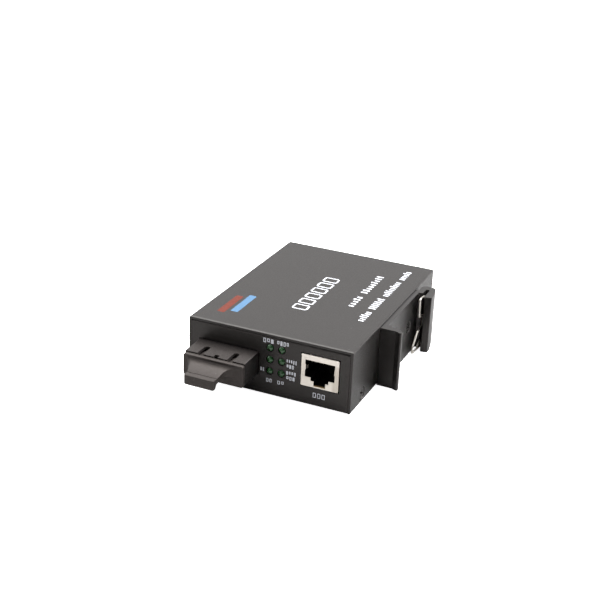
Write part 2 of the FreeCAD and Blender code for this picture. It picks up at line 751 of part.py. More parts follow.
pocket(housing, "xy", D("sc_cav_hi") - 0.2, D("sc_top") + 0.5, keyways, "housing_key_slots")
pocket(housing, "xy", D("sc_cav_hi") - 0.2, D("sc_top") + 0.5, keyway_ends, "housing_key_slot_ends")
pocket(housing, "xy", D("sc_top") - 3.0, D("sc_top") + 0.5,
       lambda s: rect(s, SX - 0.65, SF - 0.5, SX + 1.2, SF + 1.9), "housing_centre_notch")
# chamber for the optics and the small board, open downwards, and the two
# round passages from it into the ports
pocket(housing, "xy", PCB_TOP - 0.5, D("sc_top") - 1.6,
       lambda s: rect(s, SC0 + 1.3, D("sc_cav_back") + 1.6, SC1 - 1.3, D("sc_back") - 1.0), "housing_chamber")
pocket(housing, "xz", D("sc_cav_back") - 0.2, D("sc_cav_back") + 1.8,
       lambda s: [circle(s, p, D("sc_axis"), 2.0) for p in PORTS], "housing_passages")
# the pins leave through the floor of the rear wall, in open slots
AX = D("sc_axis")
for name, p in (("transmit_optics", PORTS[0]), ("receive_optics", PORTS[1])):
    sleeve = rod(name + "_sleeve", p, D("sc_cav_back") - 10.0, AX, "+y", 1.9, 13.0)
    collar = rod(name + "_collar", p, D("sc_cav_back") + 1.65, AX, "+y", 3.0, 2.2)
    can = rod(name + "_can", p, D("sc_cav_back") + 3.8, AX, "+y", 2.4, 4.2)
    rim = rod(name + "_rim", p, D("sc_cav_back") + 7.6, AX, "+y", 2.8, 1.0)
    whole = fuse(name + "_solid", [sleeve, collar, can, rim])
    node(cut(name, whole, rod(name + "_bore", p, D("sc_cav_back") - 10.5, AX, "+y", 1.25, 12.5)), name)

latches = []
for i, p in enumerate(PORTS):
    back = D("sc_cav_back")
    plate = box("latch_%d_plate" % i, p - 4.5, back - 0.8, AX - 2.6, p + 4.5, back, AX + 2.6)
    arms = []
    for sg in (-1.0, 1.0):
        a_lo, a_hi = (p + 3.9, p + 4.5) if sg > 0 else (p - 4.5, p - 3.9)
        arms.append(box("latch_%d_arm_%d" % (i, int(sg) + 1), a_lo, back - 9.0, AX - 1.6, a_hi, back, AX + 1.6))
        h_lo, h_hi = (p + 3.4, p + 4.5) if sg > 0 else (p - 4.5, p - 3.4)
        arms.append(box("latch_%d_hook_%d" % (i, int(sg) + 1), h_lo, back - 9.6, AX - 1.6, h_hi, back - 8.6, AX + 1.6))
    whole = fuse("latch_%d_solid" % i, [plate] + arms)
    latches.append(cut("latch_%d" % i, whole, rod("latch_%d_hole" % i, p, back - 1.2, AX, "+y", 2.0, 1.6)))
group("connector_latches", latches)

small = body("transceiver_circuit")
pad(small, "xy", Q(9.3, "(9.3)"), Q(10.1, "(10.1)"),
    lambda s: rect(s, SC0 + 1.6, D("sc_cav_back") + 11.0, SC1 - 1.6, D("sc_back") - 1.2), "small_board")


def small_holes(s):
    for i in range(9):
        circle(s, D("sc_x") + (i - 4) * PIN_PITCH, PIN_Y, 0.42)
    for sx in (-1.0, 1.0):
        pass


pocket(small, "xy", Q(8.8, "(8.8)"), Q(10.6, "(10.6)"), small_holes, "small_board_holes")
pins = []
for i in range(9):
    pins.append(rod("pin_%d" % i, D("sc_x") + (i - 4) * PIN_PITCH, PIN_Y, 3.8, "+z", 0.4, 7.0))
for i, sx in enumerate((-1.0, 1.0)):
    pins.append(rod("stud_%d" % i, D("sc_x") + sx * 10.16, PIN_Y - 15.0, 4.0, "+z", 0.8, PCB_TOP - 4.0 + 1.1))
group("transceiver_pins", pins)


# ----------------------------------------------------------------- dust plug
# Flange over the port face, a ramped pull tab in front, and two hollow legs
# that go round the ferrule sleeves.
plug = body("dust_plug")
PX = D("plug_x")
P2 = D("plug_w") / 2
PY1 = SF - D("plug_gap")
PY0 = PY1 - D("plug_t1")
TX = D("tab_x")
T2 = D("tab_w") / 2
TR2 = D("tab_root_w") / 2
TY = D("tab_y")
TH, TL = D("tab_hi"), D("tab_lo")
pad(plug, "xz", PY0, PY1, lambda s: rect(s, PX - P2, D("plug_lo"), PX + P2, D("plug_hi")), "plug_flange")
round_edges(plug, 0.9, lambda e: along(e, 1), "plug_flange_corners")


def ramp_side(s):
    """Side view of the tab: a concave rise to the flange's top edge, a flat top with one low step in it,
    and a lip that hangs down at the free end."""
    top = []
    y0, z0 = PY0 + 0.3, D("plug_hi") - 0.35
    reach, rise = y0 - (TY + 7.0), z0 - (TH + 0.12)
    n_seg = 12
    for i in range(n_seg + 1):
        a = i / float(n_seg) * math.pi / 2
        top.append((y0 - reach * (1.0 - math.cos(a)) ** 1.15, z0 - rise * math.sin(a)))
    top += [(TY + 2.95, TH + 0.12), (TY + 2.65, TH)]
    nose = [(TY + 0.35, TH), (TY + 0.1, TH - 0.1), (TY, TH - 0.35), (TY, TL + 0.5), (TY + 0.15, TL + 0.15),
            (TY + 0.5, TL)]
    LB, TU = TY + D("lip_len"), D("tab_under")
    under = [(LB - 0.35, TL), (LB - 0.05, TL + 0.2), (LB + 0.1, TL + 0.55), (LB + 0.45, TU - 0.4),
             (LB + 0.95, TU - 0.1), (LB + 1.6, TU), (PY0 - 1.6, TU), (PY0 - 0.75, TU - 0.2), (PY0 - 0.2, TU - 0.75),
             (PY0, TU - 1.6), (PY0 + 0.3, TU - 1.6)]
    outline(s, top + nose + under)


def ramp_cut(s, sg):
    """Plan view of what is taken away beside the tab: a concave flare to the flange."""
    pts = [(TX + sg * 20.0, PY0), (TX + sg * 20.0, TY - 1.0), (TX + sg * (T2 - 0.6), TY - 1.0),
           (TX + sg * (T2 - 0.6), TY), (TX + sg * (T2 - 0.18), TY + 0.18), (TX + sg * T2, TY + 0.6),
           (TX + sg * T2, PY0 - 4.2)]
    n_seg = 10
    for i in range(1, n_seg + 1):
        a = i / float(n_seg) * math.pi / 2
        pts.append((TX + sg * (T2 + (TR2 - T2) * (1.0 - math.cos(a))), PY0 - 4.2 + 4.2 * math.sin(a)))
    outline(s, pts)


pad(plug, "yz", TX - TR2, TX + TR2, ramp_side, "plug_tab")
for name, sg in (("left", -1.0), ("right", 1.0)):
    pocket(plug, "xy", Q(2.0, "(2.0)"), Q(24.0, "(24.0)"), lambda s, sg=sg: ramp_cut(s, sg), "plug_tab_flare_" + name)
LEGS = [p for p in PORTS]
G2 = D("leg_w") / 2
pad(plug, "xz", PY1 - 0.1, PY1 + D("leg_len"),
    lambda s: [rect(s, p - G2, AX - 2.75, p + G2, AX + 2.75) for p in LEGS], "plug_legs")
KY = SF + D("sc_key_len") - 0.25
pad(plug, "xy", D("sc_axis") + 2.65, D("key_top"),
    lambda s: [rect(s, p - KW + 0.1, PY1 - 0.1, p + KW - 0.1, KY - KW) for p in LEGS], "plug_keys")
pad(plug, "xy", D("sc_axis") + 2.65, D("key_top"),
    lambda s: [circle(s, p, KY - KW, KW - 0.1) for p in LEGS], "plug_key_ends")
pocket(plug, "xz", PY1, PY1 + D("leg_len") + 0.5,
       lambda s: [circle(s, p, AX, 2.25) for p in LEGS], "plug_leg_bores")


# --------------------------------------------------------------- power inlet
jack = body("power_jack")
JX = D("jack_x")
JY0 = D2 - D("jack_len")
pad(jack, "xz", JY0, D2, lambda s: rect(s, JK0, PCB_TOP, JK1, D("jack_hi")), "jack_block")
round_edges(jack, 0.5, lambda e: along(e, 1), "jack_long_edges")
pocket(jack, "xz", D2 - 9.5, D2 + 0.5, lambda s: circle(s, JX, D("jack_axis"), D("jack_r")), "jack_bore")
jpin = DOC.addObject("Part::MultiFuse", "power_jack_pin")
jpin.Shapes = [
    rod("jack_pin_stem", JX, D2 - 9.5, D("jack_axis"), "+y", D("jack_pin_r"), 7.4),
    cone("jack_pin_tip", JX, D2 - 2.1, D("jack_axis"), "+y", D("jack_pin_r"), 0.5, 0.8),
]
node(jpin, "power_jack_pin")


# ------------------------------------------------------- parts on the board
chip = body("controller_chip")
pad(chip, "xy", PCB_TOP, PCB_TOP + 0.9, lambda s: rect(s, -7.0, -2.0, 5.0, 10.0), "chip_package")
round_edges(chip, 0.8, lambda e: along(e, 2) and mid(e).x < -6.9 and mid(e).y > 9.9, "chip_corner", chamfer=True)

can = body("crystal")


def stadium(s, x0, x1, y, r):
    g = s.GeometryCount
    s.addGeometry(Part.LineSegment(V(x0, y - r, 0), V(x1, y - r, 0)), False)
    s.addGeometry(Part.ArcOfCircle(Part.Circle(V(x1, y, 0), V(0, 0, 1), r), -math.pi / 2, math.pi / 2), False)
    s.addGeometry(Part.LineSegment(V(x1, y + r, 0), V(x0, y + r, 0)), False)
    s.addGeometry(Part.ArcOfCircle(Part.Circle(V(x0, y, 0), V(0, 0, 1), r), math.pi / 2, 3 * math.pi / 2), False)
    s.addConstraint(Sketcher.Constraint("Tangent", g, 2, g + 1, 1))
    s.addConstraint(Sketcher.Constraint("Tangent", g + 1, 2, g + 2, 1))
    s.addConstraint(Sketcher.Constraint("Tangent", g + 2, 2, g + 3, 1))
    s.addConstraint(Sketcher.Constraint("Tangent", g + 3, 2, g, 1))
    s.addConstraint(Sketcher.Constraint("Horizontal", g))
    s.addConstraint(Sketcher.Constraint("Radius", g + 1, r))
    drive(s, "DistanceX", g, 1, x0)
    drive(s, "DistanceY", g, 1, y - r)
    drive(s, "DistanceX", g, 2, x1)


pad(can, "xy", PCB_TOP, PCB_TOP + 0.5, lambda s: stadium(s, -20.0, -13.4, 4.0, 2.3), "crystal_flange")
pad(can, "xy", PCB_TOP + 0.5, PCB_TOP + 3.4, lambda s: stadium(s, -20.0, -13.4, 4.0, 1.9), "crystal_can")

caps = []
for i in range(3):
    cx = -14.0 + i * 9.0
    drum = rod("capacitor_%d_drum" % i, cx, 26.0, PCB_TOP, "+z", 3.15, 7.4)
    groove = DOC.addObject("Part::Torus", "capacitor_%d_groove" % i)
    groove.Radius1, groove.Radius2 = 3.35, 0.4
    put(groove, cx, 26.0, PCB_TOP + 1.5, "+z")
    caps.append(cut("capacitor_%d" % i, drum, groove))
group("electrolytic_capacitors", caps)

reg = body("voltage_regulator")
pad(reg, "xy", PCB_TOP, PCB_TOP + 1.7, lambda s: rect(s, 16.0, 8.0, 22.5, 11.6), "regulator_package")
pad(reg, "xy", PCB_TOP, PCB_TOP + 0.35,
    lambda s: (rect(s, 17.7, 11.5, 20.8, 13.3), rect(s, 16.4, 6.4, 17.1, 8.1), rect(s, 18.9, 6.4, 19.6, 8.1),
               rect(s, 21.4, 6.4, 22.1, 8.1)), "regulator_tabs")

coil = body("power_inductor")
pad(coil, "xy", PCB_TOP, PCB_TOP + 4.0, lambda s: rect(s, 15.0, 18.0, 22.0, 25.0), "inductor_block")
round_edges(coil, 1.2, lambda e: along(e, 2), "inductor_corners", chamfer=True)
pocket(coil, "xy", PCB_TOP + 3.7, PCB_TOP + 4.5, lambda s: circle(s, 18.5, 21.5, 2.4), "inductor_dimple")


# ----------------------------------------------------------------- rail clip
# Extruded aluminium.  The front hook holds one edge of a 35 mm rail's flange
# in a shallow groove; the other edge goes into the slot, against the wire.
clip = body("rail_clip")
B = D("clip_base")
CB = W2 + B                         # inner face of the base plate
CF = D("clip_front")
CO = D("clip_out")
LIP = D("clip_lip")
GRV = D("clip_groove")
SI, SO, SE = D("slot_in"), D("slot_out"), D("slot_end")
RB = D("clip_back")
PROFILE = [
    (W2, CF), (CO - 2.6, CF - 0.2), (CO - 0.45, CF - 1.25), (CO, CF - 0.75), (CO, CF + 0.55),
    (SO + 1.1, LIP - 0.75), (SO + 0.45, LIP), (SO, LIP), (SO, GRV), (SI, GRV), (SI, LIP), (CB, LIP),
    (CB, SE - 5.1), (SI, SE - 4.6), (SI, SE), (SO, SE), (SO, SE - 7.7), (SO + 0.6, SE - 8.4),
    (CO - 0.65, SE - 8.0), (CO - 0.65, SE - 5.0), (CO - 2.35, RB), (W2 + 1.1, RB), (W2 + 1.1, SE - 2.7),
    (W2 + 0.75, SE - 3.2), (W2, SE - 3.4),
]
pad(clip, "xy", Q(0.0, "(0.0)"), D("clip_hi"), lambda s: outline(s, PROFILE), "clip_extrusion")


def corner(x, y, tol=0.03):
    return lambda e: along(e, 2) and near(mid(e).x, num(x), tol) and near(mid(e).y, num(y), tol)


round_edges(clip, 2.2, corner(W2 + 1.1, RB), "clip_back_inner")
round_edges(clip, 1.5, corner(CO - 2.35, RB), "clip_back_outer")
round_edges(clip, 0.84, lambda e: corner(SI, SE)(e) or corner(SO, SE)(e), "clip_slot_end")
round_edges(clip, 0.4, lambda e: corner(CO, CF - 0.75)(e) or corner(CO - 0.45, CF - 1.25)(e) or
            corner(CO - 0.65, SE - 8.0)(e), "clip_tips")
round_edges(clip, 0.25, lambda e: corner(CO, CF + 0.55)(e) or corner(CO - 0.65, SE - 5.0)(e) or
            corner(SO + 0.6, SE - 8.4)(e), "clip_small_rounds")
round_edges(clip, 0.6, corner(CB, LIP), "clip_root_radius")
CSY = (D("clip_screw_y1"), D("clip_screw_y2"))
pocket(clip, "yz", W2 - 0.5, CB + 0.5,
       lambda s: [circle(s, y, D("clip_screw_z"), R3) for y in CSY], "clip_screw_holes")
for i, y in enumerate(CSY):
    countersink(clip, "clip_countersink_%d" % (i + 1), CB, y, D("clip_screw_z"), "-x", K + CG, CSK_R + CG, R3)
group("rail_clip_screws",
      [flat_screw("clip_screw_%d" % (i + 1), CB - CG, y, D("clip_screw_z"), "-x") for i, y in enumerate(CSY)])
nuts = []
for i, y in enumerate(CSY):
    hexagon = DOC.addObject("Part::Prism", "clip_nut_%d_hex" % (i + 1))
    hexagon.Polygon = 6
    bind(hexagon, "Circumradius", 3.1)
    bind(hexagon, "Height", 1.6)
    put(hexagon, INNER, y, D("clip_screw_z"), "-x")
    nuts.append(cut("clip_nut_%d" % (i + 1), hexagon,
                    rod("clip_nut_%d_thread" % (i + 1), INNER + 0.5, y, D("clip_screw_z"), "-x", R3, 3.0)))
group("clip_nuts", nuts)


# --------------------------------------------------------------- spring wire
# One flat bent wire in the clip's slot.  Route in the plane x = wire_x as
# (y, z, bend radius): two loops come out of the slot towards the rail.
ROUTE = [
    (22.3, 24.3, 0.0),
    (16.85, 24.9, 1.0),
    (17.6, 16.4, 0.9),
    (22.9, 15.5, 0.9),
    (23.0, 10.6, 0.9),
    (16.6, 9.75, 0.95),
    (11.2, 4.6, 1.5),
    (11.2, 1.95, 1.0),
    (22.9, 0.95, 0.9),
    (22.9, 4.2, 0.8),
    (17.6, 2.35, 0.0),
]


def bent_wire(x, route):
    pts = [V(x, r[0], r[1]) for r in route]
    edges = []
    start = pts[0]
    total = 0.0
    for i in range(1, len(pts) - 1):
        p, r = pts[i], route[i][2]
        a = (pts[i - 1] - p).normalize()
        c = (pts[i + 1] - p).normalize()
        half = math.acos(max(-1.0, min(1.0, a.dot(c)))) / 2.0
        back = r / math.tan(half)
        t1, t2 = p + a * back, p + c * back
        bis = (a + c).normalize()
        centre = p + bis * (r / math.sin(half))
        m = centre - bis * r
        edges.append(Part.LineSegment(start, t1).toShape())
        edges.append(Part.Arc(t1, m, t2).toShape())
        total += (t1 - start).Length + r * (math.pi - 2.0 * half)
        start = t2
    edges.append(Part.LineSegment(start, pts[-1]).toShape())
    total += (pts[-1] - start).Length
    return Part.Wire(edges), total


wx = D("wire_x").v
wr = D("wire_r").v
path, wire_len = bent_wire(wx, ROUTE)
first = path.Edges[0]
ring = Part.Wire([Part.Circle(first.valueAt(first.FirstParameter), first.tangentAt(first.FirstParameter), wr).toShape()])
wire_shape = path.makePipeShell([ring], True, False)
if wire_shape.ShapeType != "Solid":
    wire_shape = Part.Solid(Part.Shell(wire_shape.Faces))
if wire_shape.Volume < 0:
    wire_shape.reverse()
ideal = math.pi * wr * wr * wire_len
if abs(wire_shape.Volume - ideal) > 0.02 * ideal:
    raise RuntimeError("wire volume %.2f, expected %.2f" % (wire_shape.Volume, ideal))
wire = DOC.addObject("Part::Feature", "spring_wire")
wire.Shape = wire_shape
wire.Placement = FreeCAD.Placement()
node(wire, "spring_wire")

node_names_done = [o.Label for o in NODES]


# ----------------------------------------------------------- check and write
DOC.recompute()
bad = []
for o in DOC.Objects:
    if "Invalid" in o.State or "Error" in o.State:
        bad.append("%s: state %s" % (o.Name, o.State))
for o in NODES:
    if o.Shape.isNull() or not o.Shape.isValid() or o.Shape.Volume <= 0:
        bad.append("%s: shape not usable" % o.Label)
labels = [o.Label for o in NODES]
if len(set(labels)) != len(labels):
    bad.append("labels repeat")
if bad:
    print("\n".join(bad))
    sys.exit(1)

os.makedirs("parts", exist_ok=True)
for o in NODES:
    o.Shape.exportStep("parts/%s.step" % o.Label)
    bb = o.Shape.BoundBox
    print("%-24s solids %2d  volume %9.1f  x %7.2f %7.2f  y %7.2f %7.2f  z %6.2f %6.2f" % (
        o.Label, len(o.Shape.Solids), o.Shape.Volume, bb.XMin, bb.XMax, bb.YMin, bb.YMax, bb.ZMin, bb.ZMax))
print("nodes", len(NODES), "wire length %.1f" % wire_len)
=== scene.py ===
import bpy, bmesh, math, random
from mathutils import Vector, Matrix, Quaternion


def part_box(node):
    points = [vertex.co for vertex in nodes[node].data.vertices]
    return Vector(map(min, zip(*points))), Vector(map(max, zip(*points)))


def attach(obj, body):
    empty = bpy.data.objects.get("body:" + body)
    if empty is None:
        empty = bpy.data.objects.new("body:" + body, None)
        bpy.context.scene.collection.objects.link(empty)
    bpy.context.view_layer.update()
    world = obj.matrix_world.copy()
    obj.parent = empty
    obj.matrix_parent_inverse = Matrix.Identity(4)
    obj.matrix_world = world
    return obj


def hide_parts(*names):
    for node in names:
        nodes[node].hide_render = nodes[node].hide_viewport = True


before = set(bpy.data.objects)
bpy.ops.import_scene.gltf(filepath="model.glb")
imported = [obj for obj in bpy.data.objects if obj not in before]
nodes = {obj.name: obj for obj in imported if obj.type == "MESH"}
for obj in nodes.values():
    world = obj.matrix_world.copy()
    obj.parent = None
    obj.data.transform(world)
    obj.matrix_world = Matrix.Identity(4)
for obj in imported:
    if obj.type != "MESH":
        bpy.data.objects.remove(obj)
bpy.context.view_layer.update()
MM = 0.001


# ------------------------------------------------------------------ camera
scene = bpy.context.scene
cam_data = bpy.data.cameras.new("camera")
cam = bpy.data.objects.new("camera", cam_data)
scene.collection.objects.link(cam)
cam_data.sensor_width = 36.0
cam_data.lens = 71.96
cam_data.clip_start, cam_data.clip_end = 0.02, 50.0
cam.location = (0.17684, -0.43168, 0.22607)
cam.rotation_euler = (math.radians(66.3797), math.radians(-2.2026), math.radians(24.1635))
scene.camera = cam

scene.view_settings.view_transform = "Standard"
scene.view_settings.look = "None"
scene.view_settings.exposure = 0.0
scene.view_settings.gamma = 1.0


# --------------------------------------------------------- floor and lights
def link(obj):
    scene.collection.objects.link(obj)
    return obj


class Graph:
    """Short calls for a material's nodes."""

    def __init__(self, name):
        self.mat = bpy.data.materials.new(name)
        self.mat.use_nodes = True
        self.nt = self.mat.node_tree
        self.nt.nodes.clear()
        self.out = self.nt.nodes.new("ShaderNodeOutputMaterial")
        self.bsdf = self.nt.nodes.new("ShaderNodeBsdfPrincipled")
        self.nt.links.new(self.bsdf.outputs[0], self.out.inputs["Surface"])
        self.coord = self.nt.nodes.new("ShaderNodeTexCoord").outputs["Object"]

    def set(self, **values):
        for key, value in values.items():
            name = {
                "base": "Base Color", "metal": "Metallic", "rough": "Roughness", "ior": "IOR",
                "spec": "Specular IOR Level", "coat": "Coat Weight", "coat_rough": "Coat Roughness",
                "trans": "Transmission Weight", "sheen": "Sheen Weight", "sheen_rough": "Sheen Roughness",
                "aniso": "Anisotropic", "sss": "Subsurface Weight", "sss_scale": "Subsurface Scale",
                "tint": "Specular Tint",
            }[key]
            if key in ("base", "tint") and len(value) == 3:
                value = (*value, 1.0)
            self.bsdf.inputs[name].default_value = value
        return self

    def node(self, kind, **props):
        n = self.nt.nodes.new(kind)
        for k, v in props.items():
            setattr(n, k, v)
        return n

    def wire(self, a, b):
        self.nt.links.new(a, b)

    def mapped(self, scale=(1, 1, 1), rot=(0, 0, 0), loc=(0, 0, 0)):
        m = self.node("ShaderNodeMapping")
        m.inputs["Scale"].default_value = scale
        m.inputs["Rotation"].default_value = rot
        m.inputs["Location"].default_value = loc
        self.wire(self.coord, m.inputs["Vector"])
        return m.outputs["Vector"]

    def noise(self, scale, detail=3.0, rough=0.55, vector=None, distort=0.0):
        n = self.node("ShaderNodeTexNoise")
        n.inputs["Scale"].default_value = scale
        n.inputs["Detail"].default_value = detail
        n.inputs["Roughness"].default_value = rough
        n.inputs["Distortion"].default_value = distort
        self.wire(vector or self.coord, n.inputs["Vector"])
        return n.outputs["Fac"]

    def voronoi(self, scale, vector=None, feature="F1", randomness=1.0):
        n = self.node("ShaderNodeTexVoronoi", feature=feature)
        n.inputs["Scale"].default_value = scale
        n.inputs["Randomness"].default_value = randomness
        self.wire(vector or self.coord, n.inputs["Vector"])
        return n.outputs["Distance"]

    def ramp(self, fac, stops):
        r = self.node("ShaderNodeValToRGB")
        e = r.color_ramp.elements
        while len(e) < len(stops):
            e.new(0.5)
        for el, (pos, col) in zip(e, stops):
            el.position = pos
            el.color = (*col, 1.0) if isinstance(col, (tuple, list)) else (col, col, col, 1.0)
        self.wire(fac, r.inputs["Fac"])
        return r.outputs["Color"]

    def remap(self, fac, lo, hi, src=(0.0, 1.0)):
        m = self.node("ShaderNodeMapRange")
        m.inputs["From Min"].default_value, m.inputs["From Max"].default_value = src
        m.inputs["To Min"].default_value, m.inputs["To Max"].default_value = lo, hi
        self.wire(fac, m.inputs["Value"])
        return m.outputs["Result"]

    def mix(self, fac, a, b, mode="MIX"):
        m = self.node("ShaderNodeMix", data_type="RGBA", blend_type=mode)
        for value, socket in ((fac, m.inputs["Factor"]), (a, m.inputs["A"]), (b, m.inputs["B"])):
            pass
        ins = [s for s in m.inputs if s.enabled]
        for value, s in zip((fac, a, b), ins):
            if isinstance(value, bpy.types.NodeSocket):
                self.wire(value, s)
            elif isinstance(value, (tuple, list)):
                s.default_value = (*value[:3], 1.0)
            else:
                s.default_value = value
        return [s for s in m.outputs if s.enabled][0]

    def math(self, op, a, b=0.0):
        m = self.node("ShaderNodeMath", operation=op)
        for value, s in zip((a, b), m.inputs):
            if isinstance(value, bpy.types.NodeSocket):
                self.wire(value, s)
            else:
                s.default_value = value
        return m.outputs[0]

    def bump(self, height, strength, distance, under=None):
        b = self.node("ShaderNodeBump")
        b.inputs["Strength"].default_value = strength
        b.inputs["Distance"].default_value = distance
        self.wire(height, b.inputs["Height"])
        if under is not None:
            self.wire(under, b.inputs["Normal"])
        return b.outputs["Normal"]

    def color(self, socket):
        self.wire(socket, self.bsdf.inputs["Base Color"])
        return self

    def rough(self, socket):
        self.wire(socket, self.bsdf.inputs["Roughness"])
        return self

    def normal(self, socket):
        self.wire(socket, self.bsdf.inputs["Normal"])
        return self


floor_mat = Graph("studio_floor")
floor_mat.set(base=(0.93, 0.93, 0.93), rough=0.75, spec=0.15)
n = floor_mat.noise(3.0, 2.0)
floor_mat.color(floor_mat.ramp(n, [(0.3, (0.48, 0.48, 0.48)), (0.7, (0.49, 0.49, 0.49))]))
# looked at directly the sheet is exposed to plain white, and only the deepest contact shade shows
lit = floor_mat.node("ShaderNodeEmission")
lit.inputs["Color"].default_value = (1.0, 1.0, 1.0, 1.0)
lit.inputs["Strength"].default_value = 0.95
shade = floor_mat.node("ShaderNodeBsdfDiffuse")
shade.inputs["Color"].default_value = (0.93, 0.93, 0.93, 1.0)
seen_floor = floor_mat.node("ShaderNodeAddShader")
floor_mat.wire(lit.outputs[0], seen_floor.inputs[0])
floor_mat.wire(shade.outputs[0], seen_floor.inputs[1])
pick = floor_mat.node("ShaderNodeMixShader")
floor_mat.wire(floor_mat.node("ShaderNodeLightPath").outputs["Is Camera Ray"], pick.inputs[0])
floor_mat.wire(floor_mat.bsdf.outputs[0], pick.inputs[1])
floor_mat.wire(seen_floor.outputs[0], pick.inputs[2])
floor_mat.wire(pick.outputs[0], floor_mat.out.inputs["Surface"])
floor_mesh = bpy.data.meshes.new("floor")
bm = bmesh.new()
bmesh.ops.create_grid(bm, x_segments=8, y_segments=8, size=6.0)
bm.to_mesh(floor_mesh)
bm.free()
floor = link(bpy.data.objects.new("floor", floor_mesh))
floor.location = (0, 0, -0.0002)
floor_mesh.materials.append(floor_mat.mat)

world = bpy.data.worlds.new("studio")
scene.world = world
world.use_nodes = True
wt = world.node_tree
wbg = wt.nodes["Background"]
wbg.inputs[0].default_value = (1.0, 1.0, 1.0, 1.0)
seen = wt.nodes.new("ShaderNodeLightPath")
level = wt.nodes.new("ShaderNodeMapRange")
level.inputs["To Min"].default_value, level.inputs["To Max"].default_value = 0.025, 1.0
wt.links.new(seen.outputs["Is Camera Ray"], level.inputs["Value"])
wt.links.new(level.outputs["Result"], wbg.inputs[1])


def softbox(name, loc, aim, size, power, colour=(1, 1, 1)):
    d = bpy.data.lights.new(name, "AREA")
    d.shape = "RECTANGLE"
    d.size, d.size_y = size
    d.energy = power
    d.color = colour
    o = link(bpy.data.objects.new(name, d))
    o.location = loc
    o.rotation_euler = (Vector(aim) - Vector(loc)).to_track_quat("-Z", "Y").to_euler()
    o.visible_camera = False
    return o


softbox("back_softbox", (-0.50, 1.7, 1.12), (0, 0, 0.05), (2.6, 1.5), 14.0)
softbox("top_softbox", (0.0, 0.40, 1.5), (0, 0.25, 0), (1.6, 1.4), 46.0)
softbox("backright_softbox", (1.15, 1.6, 0.5), (0, 0, 0.02), (1.5, 1.0), 8.0)
softbox("right_floor_light", (0.62, 0.30, 0.5), (0.55, 0.50, 0.0), (0.5, 0.5), 13.6)
softbox("front_softbox", (-0.55, -1.6, 0.80), (0, 0, 0.02), (1.6, 0.8), 4.5)
softbox("left_softbox", (-1.5, 0.2, 1.0), (0, 0, 0.01), (2.0, 1.5), 28.0)


# ---------------------------------------------------------------- materials
def coat_black(name, base=(0.0130, 0.0122, 0.0118), rough=(0.325, 0.385), grain=5200.0, depth=0.000012, specks=True,
               tint=(1.0, 0.925, 0.89), mottle=0.16, spec=0.46, extra=None):
    """Fine-texture satin powder coat."""
    g = Graph(name)
    g.set(spec=spec, tint=tint)
    cloud = g.noise(22.0, 3.0)
    fine = g.noise(grain, 2.0, 0.5)
    mid = g.noise(1500.0, 3.0, 0.7)
    col = g.ramp(cloud, [(0.3, tuple(c * 0.93 for c in base)), (0.7, tuple(c * 1.07 for c in base))])
    col = g.mix(g.remap(fine, 0.0, 0.35, (0.35, 0.75)), col, tuple(c * 2.4 for c in base))
    if specks:
        dust = g.voronoi(190.0)
        pick = g.noise(90.0, 1.0)
        dot = g.math("MULTIPLY", g.remap(dust, 1.0, 0.0, (0.035, 0.055)), g.remap(pick, 0.0, 1.0, (0.60, 0.63)))
        col = g.mix(dot, col, (0.11, 0.105, 0.10))
    if extra:
        col = extra(g, col)
    g.color(col)
    lo, hi = rough
    wide = g.remap(g.noise(26.0, 3.0), lo + 0.015, hi - 0.015, (0.3, 0.7))
    g.rough(g.math("ADD", wide, g.remap(mid, -mottle / 2, mottle / 2, (0.25, 0.75))))
    b = g.bump(fine, 0.55, depth)
    b = g.bump(mid, 0.35, depth * 1.6, b)
    g.normal(g.bump(g.voronoi(grain * 0.42), 0.25, depth * 0.9, b))
    return g.mat


def moulded(name, base, rough=(0.42, 0.56), grain=6500.0, depth=0.000016, spec=0.4, speck=0.0, scale_noise=60.0,
            tint=(1.0, 0.91, 0.87), coarse=0.0, extra=None):
    """Moulded plastic with a spark-eroded grain."""
    g = Graph(name)
    g.set(spec=spec, tint=tint)
    fine = g.noise(grain, 3.0, 0.6)
    cloud = g.noise(scale_noise, 3.0)
    col = g.ramp(cloud, [(0.3, tuple(c * 0.88 for c in base)), (0.7, tuple(c * 1.14 for c in base))])
    if speck:
        col = g.mix(g.remap(fine, 0.0, speck, (0.52, 0.72)), col, tuple(min(1.0, c * 4.5 + 0.01) for c in base))
    if coarse:
        rough_grain = g.noise(1900.0, 3.0, 0.75)
        col = g.mix(g.remap(rough_grain, 0.0, coarse, (0.54, 0.70)), col, tuple(c * 3.4 + 0.012 for c in base))
    if extra:
        col = extra(g, col)
    g.color(col)
    g.rough(g.remap(g.noise(grain * 0.3, 2.0), rough[0], rough[1], (0.3, 0.7)))
    b = g.bump(fine, 0.6, depth)
    if coarse:
        b = g.bump(rough_grain, 0.5, depth * 2.0, b)
    g.normal(g.bump(g.voronoi(grain * 0.6), 0.35, depth, b))
    return g.mat


def lint(g, col, level=0.12, keep=(0.62, 0.66)):
    """A few pale specks of dust."""
    dust = g.voronoi(330.0)
    pick = g.noise(150.0, 1.0)
    dot = g.math("MULTIPLY", g.remap(dust, 1.0, 0.0, (0.05, 0.08)), g.remap(pick, 0.0, 1.0, keep))
    return g.mix(dot, col, (level * 1.05, level, level * 0.96))


